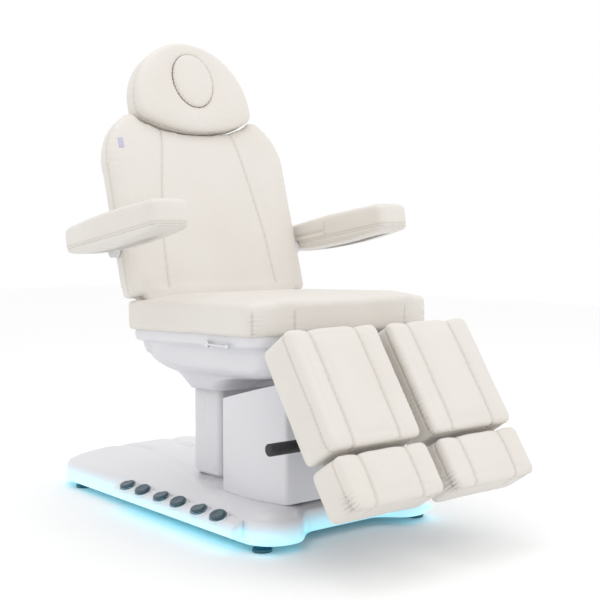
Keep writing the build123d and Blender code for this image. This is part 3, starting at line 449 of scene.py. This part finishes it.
def sew(piece, line, depth, width, pucker=0.0, pitch=0.013, reach=0.022, where=None):
    """Draws the cover in along a seam, with puckers across it."""
    mesh = piece.data
    points, outward = read(mesh), read(mesh, "normal")
    tree = KDTree(len(line))
    for index, point in enumerate(line):
        tree.insert(point, index)
    tree.balance()
    far = max(3 * width, 2 * reach if pucker else 0)
    near = ((points > line.min(0) - far) & (points < line.max(0) + far)).all(1)
    crease = np.zeros(len(points))
    mesh.attributes["crease"].data.foreach_get("value", crease)
    for i in np.nonzero(near)[0]:
        _, index, gap = tree.find(points[i])
        if gap > far:
            continue
        draw = depth * math.exp(-((gap / width) ** 2))
        if pucker:
            along = index * STEP
            wave = 0.5 + 0.5 * math.sin(2 * math.pi * along / pitch + 2.3 * math.sin(along * 31))
            share = where(points[i]) if where else 1.0
            draw += pucker * share * wave**2 * math.exp(-((gap / reach) ** 2))
        points[i] -= outward[i] * draw
        # crease marks the painted shade along the seam line, darkening the leatherette there
        crease[i] = max(crease[i], math.exp(-((gap / 0.0022) ** 2)))
    mesh.attributes["crease"].data.foreach_set("value", crease)
    write(mesh, points)


def wrinkle(piece, size, height, seed):
    """Slow unevenness of foam under its cover."""
    points, outward = read(piece.data), read(piece.data, "normal")
    shift = Vector((seed * 7.3, seed * 3.1, seed * 5.7))
    lift = np.array([noise.fractal(Vector(p) / size + shift, 1.0, 2.0, 3) for p in points])
    write(piece.data, points + outward * (lift * height)[:, None])


def stitches(piece, lines, side, pitch=0.006, length=0.0042, thick=0.0005):
    """Rows of thread beside the seams of a piece."""
    tree = surface(piece)
    build = bmesh.new()
    for line in lines:
        skip = max(1, round(pitch / STEP))
        for k in range(0, len(line) - skip, skip):
            ahead = Vector(line[k + skip] - line[k]).normalized()
            place, normal, _, _ = tree.find_nearest(Vector(line[k]))
            beside = normal.cross(ahead).normalized()
            for offset in side:
                spot, lift, _, _ = tree.find_nearest(place + beside * offset)
                width = lift.cross(ahead).normalized()
                ring = [build.verts.new(spot + lift * thick * a + width * thick * b)
                        for a, b in ((1.3, 0), (0, 1), (-1, 0), (0, -1))]
                ends = [build.verts.new(spot + ahead * length * s) for s in (-0.5, 0.5)]
                for m in range(4):
                    build.faces.new((ring[m], ring[(m + 1) % 4], ends[1]))
                    build.faces.new((ring[(m + 1) % 4], ring[m], ends[0]))
    mesh = mesh_from(piece.name + "_thread", build)
    return new_piece(piece.name + "_thread", mesh, thread, piece["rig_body"])


def stuffed(source):
    """Hides the CAD cushion that the new piece stands for."""
    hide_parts(source)


def mirrored(piece, name, body, finish, seed=0):
    """The same piece on the other side of the bed."""
    mesh = piece.data.copy()
    mesh.materials.clear()
    points = read(mesh)
    points[:, 0] *= -1
    write(mesh, points)
    mesh.flip_normals()
    twin = new_piece(name, mesh, finish, body)
    if seed:
        wrinkle(twin, 0.09, 0.0006, seed)
    return twin


def smooth(value):
    value = np.clip(value, 0, 1)
    return value * value * (3 - 2 * value)


# seat
low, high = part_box("seat_cushion")
SEAT_HALF = high.x - 0.002
SEAT_THICK = 0.075
SEAT_SEAM_X = 0.185
SEAM_HEIGHTS = (0.004, 0.060)
HORN_IN = 0.270  # inner edge of the rear corners, which reach past the backrest's foot
horn_back = high.y - 0.003 - seat_base.y
rear_back = 0.193 - seat_base.y
side_front = -0.312 - seat_base.y
bow_front = low.y + 0.004 - seat_base.y
seat_outline = [(SEAT_HALF, side_front), (SEAT_HALF, horn_back), (HORN_IN, horn_back),
                (HORN_IN, rear_back), (-HORN_IN, rear_back), (-HORN_IN, horn_back),
                (-SEAT_HALF, horn_back)]
seat_outline += arc((-SEAT_HALF, side_front), (0, bow_front), (SEAT_HALF, side_front), 24)
build = bmesh.new()
prism(build, seat_outline, seat_base, ACROSS, seat_back, 0.000, SEAT_THICK)


def seat_hold(points, outward):
    top = np.clip(outward @ np.array(seat_up), 0, 1)
    edge = smooth((SEAT_HALF - np.abs(points[:, 0])) / 0.10)
    return 0.12 + 0.88 * top * (0.35 + 0.65 * edge)


seat = upholster("seat_upholstery", build, "seat", 0.006, 0.0, 0.022, seat_hold, 22)
wrinkle(seat, 0.16, 0.0016, 1)
seat_seams = []
for x in (-SEAT_SEAM_X, SEAT_SEAM_X):
    front = [seat_base + ACROSS * x + seat_up * h + seat_back * bow_front for h in SEAM_HEIGHTS]
    seat_seams.append(traced(seat, front, seat_back))
for x in (-SEAT_HALF, SEAT_HALF):
    corner = seat_base + ACROSS * (x * 0.99) + seat_back * (side_front - 0.004)
    inward = (seat_back * 0.5 - ACROSS * math.copysign(0.85, x)).normalized()
    seat_seams.append(traced(seat, [corner + seat_up * h for h in SEAM_HEIGHTS], inward))
for line in seat_seams[:2]:
    sew(seat, line, 0.0022, 0.0035, 0.0008, 0.02)
for line in seat_seams[2:]:
    sew(seat, line, 0.0030, 0.0040, 0.0034, 0.0115, 0.020)
stuffed("seat_cushion")
stitches(seat, seat_seams, BOTH_SIDES)

# backrest
BACK_HALF = 0.305
BACK_FOOT_HALF = 0.258  # the narrow foot between the seat's rear corners
BACK_FOOT_R = 0.041
back_outline = [(-BACK_HALF, 0.034), (BACK_HALF, 0.034)]
back_outline += arc((BACK_HALF, 0.400), (0.282, 0.505), (0.227, 0.560), 12)
back_outline += [(0.227, 0.560), (0.206, 0.562), (0.194, 0.550)]
back_outline += arc((0.190, 0.545), (0, 0.509), (-0.190, 0.545), 20)
back_outline += [(-0.190, 0.545), (-0.194, 0.550), (-0.206, 0.562)]
back_outline += arc((-0.227, 0.560), (-0.282, 0.505), (-BACK_HALF, 0.400), 12)
back_outline += [(-BACK_HALF, 0.400)]
build = bmesh.new()
prism(build, back_outline, back_hinge, ACROSS, back_up, -0.018, 0.032)
foot_roll = [(BACK_FOOT_R * math.cos(k * math.pi / 16), BACK_FOOT_R * math.sin(k * math.pi / 16))
             for k in range(32)]
prism(build, foot_roll, back_hinge, back_up, back_out, -BACK_FOOT_HALF, BACK_FOOT_HALF)
prism(build, [(0, -0.018), (0.05, -0.018), (0.05, 0.036), (0, 0.040)], back_hinge, back_up, back_out,
      -BACK_FOOT_HALF, BACK_FOOT_HALF)

# distance up the backrest and half the distance between the two front seams
BACK_SEAM = ((0.050, 0.189), (0.200, 0.180), (0.350, 0.156), (0.450, 0.137), (0.530, 0.121))


def back_hold(points, outward):
    front = np.clip(outward @ np.array(back_out), 0, 1)
    up = (points - np.array(back_hinge)) @ np.array(back_up)
    seam_x = np.interp(up, [p[0] for p in BACK_SEAM], [p[1] for p in BACK_SEAM])
    pillow = 0.80 + 0.20 * smooth(np.abs(np.abs(points[:, 0]) - seam_x) / 0.05)
    return 0.10 + 0.90 * front * pillow


back = upholster("backrest_upholstery", build, "backrest", 0.006, 0.0, 0.022, back_hold, 20)
wrinkle(back, 0.22, 0.0014, 2)
back_middle = back_hinge + back_up * 0.30
side_seam = girdle(back, back_middle + back_out * 0.024, ACROSS, back_up)
sew(back, side_seam, 0.0018, 0.003, 0.0005, 0.024, 0.014)
back_seams = [side_seam]
for side in (-1, 1):
    guides = [back_hinge + back_up * s + ACROSS * (side * x) for s, x in BACK_SEAM]
    back_seams.append(traced(back, guides, -back_out))
    sew(back, back_seams[-1], 0.0026, 0.0045, 0.0007, 0.026, 0.014)
stuffed("backrest_cushion")
stitches(back, back_seams, BOTH_SIDES)

# blank sewn tag near the top on the client's right
TAG_ROWS, TAG_COLUMNS = 9, 7
front_of = back_hinge + back_up * 0.47 - ACROSS * 0.268 + back_out * 0.2
back_surface = surface(back)
spot, lift, _, _ = back_surface.ray_cast(front_of, -back_out)
tag_side = back_up.cross(lift).normalized()
tag_up = lift.cross(tag_side)
build = bmesh.new()
tag_rows = []
for k in range(TAG_ROWS):
    along = (k / (TAG_ROWS - 1) - 0.5) * 0.034
    row = []
    for m in range(TAG_COLUMNS):
        place = spot + tag_up * along + tag_side * ((m / (TAG_COLUMNS - 1) - 0.5) * 0.018)
        place, normal, _, _ = back_surface.find_nearest(place)
        inside = 0 < k < TAG_ROWS - 1 and 0 < m < TAG_COLUMNS - 1
        row.append(build.verts.new(place + normal * (0.0012 if inside else -0.0004)))
    tag_rows.append(row)
for first, second in zip(tag_rows, tag_rows[1:]):
    for m in range(TAG_COLUMNS - 1):
        build.faces.new((first[m], first[m + 1], second[m + 1], second[m]))
tag = new_piece("backrest_tag", mesh_from("backrest_tag", build), lilac, "backrest")
thick = tag.modifiers.new("thick", "SOLIDIFY")
thick.thickness = 0.0008
bake(tag)

# headrest with its oval face plug
plug_low, plug_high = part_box("face_plug")
plug_middle = (plug_low + plug_high) / 2
head_base = back_hinge + back_up * 0.594


def head_hold(points, outward):
    return 0.35 + 0.65 * np.clip(outward @ np.array(back_out), 0, 1)


head = upholster("headrest_upholstery", welded("headrest_cushion"), "headrest", 0.0045, 0.0015, 0.010,
                 head_hold, 10)
wrinkle(head, 0.11, 0.0012, 3)
head_seam = girdle(head, head_base + back_up * 0.06 + back_out * 0.040, ACROSS, back_up)
sew(head, head_seam, 0.0024, 0.0032, 0.0012, 0.019, 0.016)
stuffed("headrest_cushion")
stitches(head, [head_seam], ONE_SIDE)

plug = upholster("face_plug_upholstery", welded("face_plug"), "face_plug", 0.004, 0.0015, 0.006,
                 head_hold, 6)
plug_seam = girdle(plug, plug_middle + back_out * 0.030, ACROSS, back_up)


def slack(point):
    """Where the plug's cover bunches up: low, and towards the client's right."""
    away = Vector(point) - plug_middle
    return 0.3 + 0.7 * float(smooth(0.5 - (away.dot(back_up) * 0.6 + away.x) / 0.12))


sew(plug, plug_seam, 0.0016, 0.003, 0.0022, 0.011, 0.020, slack)
stuffed("face_plug")

# leg and foot pads
CHANNEL = 0.072  # from a pad's middle to each of its sewn channels
PAD_HALF = 0.14


def pad_hold(points, outward):
    front = np.clip(outward @ np.array(leg_out), 0, 1)
    gap = np.abs(np.abs(points[:, 0] + LEG_X) - CHANNEL)
    return 0.14 + 0.86 * front * (0.30 + 0.70 * smooth(gap / 0.034))


def at_corners(point):
    """Bunching at the lower corners of a pad."""
    sideways = abs(abs(point[0]) - LEG_X) / PAD_HALF
    return 0.10 + 0.90 * float(smooth((sideways - 0.55) / 0.4))


def pad(name, source, body, cap, seam_out, corner_pucker):
    """A leg or foot pad with two sewn channels; its rim seam lies seam_out in front of the hinge."""
    piece = upholster(name, welded(source), body, 0.005, 0.002, cap, pad_hold, 14)
    low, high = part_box(source)
    middle = (low + high) / 2
    centre = middle + leg_out * (seam_out - (middle - leg_hinge).dot(leg_out))
    wrinkle(piece, 0.10, 0.0013, 4.5)
    rim = girdle(piece, centre, ACROSS, leg_down)
    seams = [rim]
    for side in (-1, 1):
        spot = centre + ACROSS * (side * CHANNEL)
        half = 0.5 * (high - low).dot(Vector((0, abs(leg_down.y), abs(leg_down.z)))) - 0.030
        guides = [spot + leg_down * s for s in (-half, half)]
        seams.append(traced(piece, guides, -leg_out))
        sew(piece, seams[-1], 0.0034, 0.0045, 0.0006, 0.02)
    lower = leg_down.dot(middle)

    def pleats(point):
        return at_corners(point) * float(smooth((leg_down.dot(Vector(point)) - lower) / 0.05))

    sew(piece, rim, 0.0024, 0.0032, corner_pucker, 0.0105, 0.022, pleats)
    stuffed(source)
    return piece, seams


def other_side(piece, seams, name, source, body, seed):
    """The left pad, mirrored from the right one and wrinkled in its own way."""
    twin = mirrored(piece, name, body, cream, seed)
    stuffed(source)
    stitches(twin, [line * LEFT_FROM_RIGHT for line in seams], BOTH_SIDES)


leg, leg_seams = pad("leg_upholstery_right", "leg_cushion_right", "leg_right", 0.015, 0.066, 0.0016)
stitches(leg, leg_seams, BOTH_SIDES)
other_side(leg, leg_seams, "leg_upholstery_left", "leg_cushion_left", "leg_left", 4)
foot, foot_seams = pad("foot_upholstery_right", "foot_cushion_right", "foot_right", 0.013, 0.064, 0.0062)
stitches(foot, foot_seams, BOTH_SIDES)
other_side(foot, foot_seams, "foot_upholstery_left", "foot_cushion_left", "foot_left", 5)


def loft(build, rings, floor=False, lid=False):
    """Skin over closed rings of points, with its ends closed if asked."""
    made = [[build.verts.new(point) for point in ring] for ring in rings]
    for lower, upper in zip(made, made[1:]):
        for k in range(len(lower)):
            after = (k + 1) % len(lower)
            build.faces.new((lower[k], lower[after], upper[after], upper[k]))
    if floor:
        build.faces.new(made[0][::-1])
    if lid:
        build.faces.new(made[-1])


def round_box(half, front, rear, radius, corner=12, edge=24):
    """Points round a box with rounded corners, from its front right corner."""
    points = []
    for x, y, start in ((half, rear, 0), (-half, rear, 1), (-half, front, 2), (half, front, 3)):
        mid_x = x - math.copysign(radius, x)
        mid_y = y - radius if y == rear else y + radius
        for k in range(corner + 1):
            angle = (start + k / corner) * math.pi / 2
            points.append((mid_x + radius * math.cos(angle), mid_y + radius * math.sin(angle)))
    full = []
    for k, point in enumerate(points):
        full.append(point)
        if k % (corner + 1) == corner:
            ahead = points[(k + 1) % len(points)]
            for step in range(1, edge):
                share = step / edge
                full.append((point[0] + (ahead[0] - point[0]) * share,
                             point[1] + (ahead[1] - point[1]) * share))
    return full


# armrests
ARM_HALF = 0.235
ARM_HALF_W = 0.055
ARM_TOP = (0.031, 0.041, 0.036)  # heights at the rear, in the middle and at the tip
ARM_BELLY = (-0.038, -0.050, -0.036)
arm_centre = arm_mid - ACROSS * ARM_X


def arm_hold(points, outward):
    return 0.25 + 0.75 * np.clip(outward @ np.array(arm_up), 0, 1)


def arm_level(along, rear, middle, tip):
    """Height of an armrest's top or belly, along its line."""
    end = tip if along > 0 else rear
    return middle + (end - middle) * (along / ARM_HALF) ** 2


def arm_rings(profile, curve):
    """Rings round an armrest from (inset, height, 1 if measured from the curve or else 0)."""
    rings = []
    for inset, height, bend in profile:
        ring = []
        radius = max(0.024 - 0.4 * inset, 0.010)
        for x, along in round_box(ARM_HALF_W - inset, -ARM_HALF + inset, ARM_HALF - inset, radius, 8, 40):
            level = height + bend * arm_level(along, *curve)
            ring.append(arm_centre + ACROSS * x + arm_front * along + arm_up * level)
        rings.append(ring)
    return rings


build = bmesh.new()
loft(build, arm_rings(((0.006, -0.0285, 0), (0.0012, -0.0265, 0), (0.0004, -0.020, 0), (0.0004, -0.020, 1),
                       (0.0016, -0.011, 1), (0.0048, -0.0050, 1), (0.0100, -0.0016, 1), (0.0180, 0, 1),
                       (0.0320, 0.0010, 1)), ARM_TOP), floor=True, lid=True)
arm = upholster("armrest_upholstery_right", build, "armrest_right", 0.0045, 0.0005, 0.005, arm_hold, 5)
build = bmesh.new()
loft(build, arm_rings(((0.0016, -0.0262, 0), (0.0014, -0.0290, 0), (0.0030, 0.0070, 1), (0.0075, 0.0035, 1),
                       (0.0150, 0.0012, 1), (0.0260, 0.0002, 1), (0.0380, 0, 1)), ARM_BELLY),
     floor=True, lid=True)
belly = new_piece("armrest_belly_right", mesh_from("armrest_belly_right", build), cream_shell,
                  "armrest_right")
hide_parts("armrest_shell_right")
belly_left = mirrored(belly, "armrest_belly_left", "armrest_left", cream_shell)
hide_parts("armrest_shell_left")
wrinkle(arm, 0.12, 0.0010, 6)
arm_seam = girdle(arm, arm_centre - arm_up * 0.019, ACROSS, arm_front)
sew(arm, arm_seam, 0.0010, 0.0028, 0.0005, 0.022, 0.012)
arm_seams = [arm_seam]
inner = arm_centre + ACROSS * ARM_HALF_W
arm_seams.append(traced(arm, [inner - arm_front * 0.02 + arm_up * n for n in (-0.016, 0.020)], -ACROSS))
sew(arm, arm_seams[-1], 0.0022, 0.0035, 0.0010, 0.012)
fold = traced(arm, [inner + arm_front * t - arm_up * 0.003 for t in (-0.20, -0.03)], -ACROSS)
sew(arm, fold, 0.0030, 0.0050)
stuffed("armrest_pad_right")
stitches(arm, arm_seams, ONE_SIDE)
arm_left = mirrored(arm, "armrest_upholstery_left", "armrest_left", cream, 7)
stuffed("armrest_pad_left")
stitches(arm_left, [line * LEFT_FROM_RIGHT for line in arm_seams], ONE_SIDE)


# ---------------------------------------------------------------- moulded covers
# base cover: skirt, shoulder up to a winding ridge, deck inside it
low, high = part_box("base_cover")
BASE_TOP = high.z
SHOULDER_Z = 0.0785
BAY = 0.061  # the front edge steps back this far between the feet
# y and half the distance between the ridges
RIDGE = ((-0.38, 0.235), (-0.29, 0.232), (-0.20, 0.226), (-0.05, 0.212), (0.06, 0.190), (0.20, 0.160),
         (0.32, 0.136), (0.44, 0.108), (0.54, 0.082), (0.62, 0.110), (0.69, 0.150))


def deck_height(x, y, front):
    """Height of the base's deck: up from the shoulder to the ridge, dished inside it."""
    ridge = np.interp(y, [p[0] for p in RIDGE], [p[1] for p in RIDGE])
    climb = (high.x - abs(x)) / (high.x - ridge)
    rise = 0.35 * np.clip(climb, 0, 1) + 0.65 * smooth(climb)
    inside = math.pi * np.clip((ridge - abs(x)) / 0.055, 0, 1)
    dish = 0.007 * smooth((y - 0.02) / 0.12) * math.sin(inside) ** 2
    ends = smooth((high.y - y) / 0.05) ** 0.5 * smooth((y - front + 0.004) / 0.075) ** 0.6
    return SHOULDER_Z + (BASE_TOP - 0.0005 - SHOULDER_Z) * rise * ends - dish * ends


def base_ring(inset, height=None):
    """Ring round the base with its front bay, at one height or following the deck."""
    ring = []
    radius = max(0.086 - 0.4 * inset, 0.03)
    for x, y in round_box(high.x - inset, low.y + inset, high.y - inset, radius):
        step_back = float(smooth((0.195 - abs(x)) / 0.09))
        edge = low.y + inset + 0.05
        if y < edge:
            depth = BAY * (1 - 0.5 * min(1, inset / 0.2))
            y += depth * step_back * float(smooth((edge - y) / 0.03))
        front = low.y + BAY * step_back
        ring.append((x, y, deck_height(x, y, front) if height is None else height))
    return ring


build = bmesh.new()
profile = [(0.006, 0.060), (0.0055, 0.024), (0.0048, 0.0205), (0.0030, 0.0200), (0.0012, 0.0210),
           (0.0004, 0.024), (0.0006, 0.034), (0.0030, 0.060), (0.0060, 0.0715), (0.0105, 0.0765),
           (0.0160, SHOULDER_Z)]
rings = [base_ring(inset, height) for inset, height in profile]
rings += [base_ring(inset) for inset in np.linspace(0.024, 0.262, 28)]
loft(build, rings, lid=True)
base = new_piece("base_moulding", mesh_from("base_moulding", build), lit_white, "base")
refine(base)
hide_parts("base_cover")

# tub under the seat: rim, hollow flank, hull open round the column
# height, half width, front, rear, corner radius
TUB = ((0.004, 0.281, -0.268, 0.298, 0.034), (0.000, 0.285, -0.272, 0.303, 0.036),
       (-0.024, 0.285, -0.272, 0.303, 0.036), (-0.0275, 0.282, -0.270, 0.300, 0.036),
       (-0.030, 0.272, -0.264, 0.292, 0.040), (-0.040, 0.266, -0.262, 0.288, 0.044),
       (-0.060, 0.262, -0.260, 0.284, 0.050), (-0.080, 0.254, -0.256, 0.276, 0.055),
       (-0.098, 0.236, -0.244, 0.264, 0.060), (-0.110, 0.218, -0.222, 0.250, 0.060),
       (-0.1145, 0.206, -0.190, 0.243, 0.058), (-0.118, 0.200, -0.120, 0.238, 0.055),
       (-0.126, 0.192, -0.040, 0.232, 0.050), (-0.142, 0.180, 0.020, 0.224, 0.046),
       (-0.160, 0.168, 0.046, 0.217, 0.042), (-0.1655, 0.163, 0.052, 0.213, 0.040))
build = bmesh.new()
rings = []
for height, half, front, rear, radius in TUB:
    level = seat_base + seat_up * height
    rings.append([level + ACROSS * x + seat_back * y
                  for x, y in round_box(half, front, rear, radius, 10, 20)])
loft(build, rings)
tub = new_piece("tub_moulding", mesh_from("tub_moulding", build), white, "seat")
wall = tub.modifiers.new("wall", "SOLIDIFY")
wall.thickness = 0.003
wall.offset = -1
refine(tub)
points = read(tub.data)
outward = read(tub.data, "normal")
for side in (-1, 1):
    dimple = np.array(seat_base + seat_up * -0.050 + seat_back * 0.254 + ACROSS * (side * 0.262))
    gap = np.linalg.norm(points - dimple, axis=1)
    points -= outward * (0.008 * smooth((0.027 - gap) / 0.018))[:, None]
    level = (points - np.array(seat_base)) @ np.array(seat_up)
    back = (points - np.array(seat_base)) @ np.array(seat_back)
    hollow = smooth((-0.030 - level) / 0.018) * smooth((level + 0.100) / 0.035)
    hollow *= smooth((0.20 - back) / 0.08) * smooth((back + 0.262) / 0.05) * (points[:, 0] * side > 0.17)
    points[:, 0] -= side * 0.012 * hollow
write(tub.data, points)
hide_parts("tub_cover")


def lathe(build, centre, axis, profile, around=40):
    """Turned shape: distances along the axis and radii from it."""
    first = axis.orthogonal().normalized()
    second = axis.cross(first)
    rings = []
    for along, radius in profile:
        rings.append([centre + axis * along + (first * math.cos(2 * math.pi * k / around)
                                               + second * math.sin(2 * math.pi * k / around)) * radius
                      for k in range(around)])
    loft(build, rings, floor=True, lid=True)


# pedals: kidney-shaped and oval caps in turn, each in its well
PEDAL_LEAN = math.radians(24)
PEDAL_AROUND, WELL_AROUND, WELL_SECTION = 48, 56, 8
PEDAL_HALF = (0.0240, 0.0203)  # half length and half width
WELL_HALF = (0.0285, 0.0235)
pedal_up = Vector((-math.sin(PEDAL_LEAN), 0, math.cos(PEDAL_LEAN)))
pedal_side = Vector((-math.cos(PEDAL_LEAN), 0, -math.sin(PEDAL_LEAN)))
pedal_along = Vector((0, 1, 0))
PEDALS = ("height_up", "height_down", "back_up", "back_down", "tilt_up", "tilt_down")
CAP = ((-0.006, 0.86), (-0.0035, 0.97), (-0.001, 1.0), (0.0012, 0.985), (0.0030, 0.93), (0.0040, 0.84),
       (0.0043, 0.70), (0.0036, 0.52), (0.0032, 0.30), (0.0030, 0.08))
wells = bmesh.new()
for order, name in enumerate(PEDALS):
    low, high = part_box("pedal_" + name)
    top = Vector(((low.x + high.x) / 2, (low.y + high.y) / 2, high.z - 0.0105))
    kidney = order % 2 == 0
    build = bmesh.new()
    rings = []
    for height, share in CAP:
        ring = []
        for k in range(PEDAL_AROUND):
            angle = 2 * math.pi * k / PEDAL_AROUND
            a = PEDAL_HALF[0] * share * math.cos(angle)
            b = PEDAL_HALF[1] * share * math.sin(angle)
            lift = height
            if kidney:
                waist = math.exp(-(((angle - 5.35 + math.pi) % (2 * math.pi) - math.pi) / 0.55) ** 2)
                a *= 1 - 0.30 * waist
                b *= 1 - 0.30 * waist
                lift += 0.0016 * (b - a) / 0.02
            ring.append(top + pedal_along * a + pedal_side * b + pedal_up * lift)
        rings.append(ring)
    loft(build, rings, floor=True, lid=True)
    cap_name = "pedal_cap_" + name
    pedal = new_piece(cap_name, mesh_from(cap_name, build), slate, "pedal_" + name)
    refine(pedal)
    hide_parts("pedal_" + name)
    rings = []
    for k in range(WELL_AROUND):
        angle = 2 * math.pi * k / WELL_AROUND
        spoke = pedal_along * (WELL_HALF[0] * math.cos(angle))
        spoke += pedal_side * (WELL_HALF[1] * math.sin(angle))
        out = spoke.normalized()
        turns = [2 * math.pi * t / WELL_SECTION for t in range(WELL_SECTION)]
        rings.append([top + spoke + out * (0.0026 * math.cos(turn))
                      + pedal_up * (-0.0075 + 0.0030 * math.sin(turn)) for turn in turns])
    loft(wells, rings + rings[:1])
bmesh.ops.remove_doubles(wells, verts=wells.verts, dist=0.00001)
new_piece("pedal_wells", mesh_from("pedal_wells", wells), bar_white, "base")

# levelling feet: pad, waist and collar, as distances up and radii
build = bmesh.new()
FOOT_R = 0.025
FOOT = ((0.0, 0.0225), (0.0012, 0.0245), (0.0050, 0.0250), (0.0075, 0.0240), (0.0090, 0.0200),
        (0.0098, 0.0150), (0.0110, 0.0130), (0.0140, 0.0125), (0.0148, 0.0110))
low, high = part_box("levelling_feet")
for x in (low.x + FOOT_R, high.x - FOOT_R):
    for y in (low.y + FOOT_R, high.y - FOOT_R):
        lathe(build, Vector((x, y, 0)), UP, FOOT)
feet = new_piece("foot_pads", mesh_from("foot_pads", build), teal, "base")
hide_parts("levelling_feet")

# grips of the leg rests: ribbed rubber over the bar
RIBS = 11
for side in ("right", "left"):
    low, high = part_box("leg_grip_" + side)
    build = bmesh.new()
    centre = Vector((low.x, (low.y + high.y) / 2, (low.z + high.z) / 2))
    length = high.x - low.x
    profile = [(0, 0.0070), (0.0004, 0.0125), (0.0020, 0.0146), (0.0040, 0.0150)]
    for k in range(RIBS):
        at = 0.011 + k * (length - 0.022) / (RIBS - 1)
        profile += [(at - 0.0024, 0.0150), (at - 0.0008, 0.0141),
                    (at + 0.0008, 0.0141), (at + 0.0024, 0.0150)]
    profile += [(length - 0.0040, 0.0150), (length - 0.0020, 0.0146),
                (length - 0.0004, 0.0125), (length, 0.0070)]
    lathe(build, centre, ACROSS, profile)
    hold = new_piece("grip_sleeve_" + side, mesh_from("grip_sleeve_" + side, build), grip,
                     "leg_handle_" + side)
    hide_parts("leg_grip_" + side)

# ---------------------------------------------------------------- stage
floor_mesh = bpy.data.meshes.new("floor")
floor_mesh.from_pydata([(-8, -8, 0), (8, -8, 0), (8, 12, 0), (-8, 12, 0)], [], [(0, 1, 2, 3)])
floor = bpy.data.objects.new("floor", floor_mesh)
bpy.context.collection.objects.link(floor)
floor_mesh.materials.append(material("floor_paint", (0.975, 0.975, 0.975), 0.8))

world = bpy.data.worlds.new("studio")
world.use_nodes = True
world.node_tree.nodes["Background"].inputs["Color"].default_value = (1, 1, 1, 1)
world.node_tree.nodes["Background"].inputs["Strength"].default_value = 1.0
bpy.context.scene.world = world


def soft_light(name, place, aim, size, power):
    lamp = bpy.data.lights.new(name, "AREA")
    lamp.shape = "RECTANGLE"
    lamp.size = size
    lamp.size_y = size
    lamp.energy = power
    holder = bpy.data.objects.new(name, lamp)
    holder.location = place
    holder.rotation_euler = (Vector(aim) - Vector(place)).to_track_quat("-Z", "Y").to_euler()
    bpy.context.collection.objects.link(holder)


soft_light("key", (1.2, -3.2, 3.0), (0, 0, 0.5), 1.8, 10)
soft_light("top", (-0.2, 0.2, 3.8), (0, 0, 0.5), 2.0, 16)

eye = bpy.data.cameras.new("camera")
eye.sensor_width = 36
eye.lens = 66.07
camera = bpy.data.objects.new("camera", eye)
camera.location = (-1.855, -2.385, 0.764)
camera.rotation_euler = Vector((0.6354, 0.7699, -0.0599)).to_track_quat("-Z", "Y").to_euler()
bpy.context.collection.objects.link(camera)
bpy.context.scene.camera = camera
bpy.context.scene.view_settings.view_transform = "Standard"
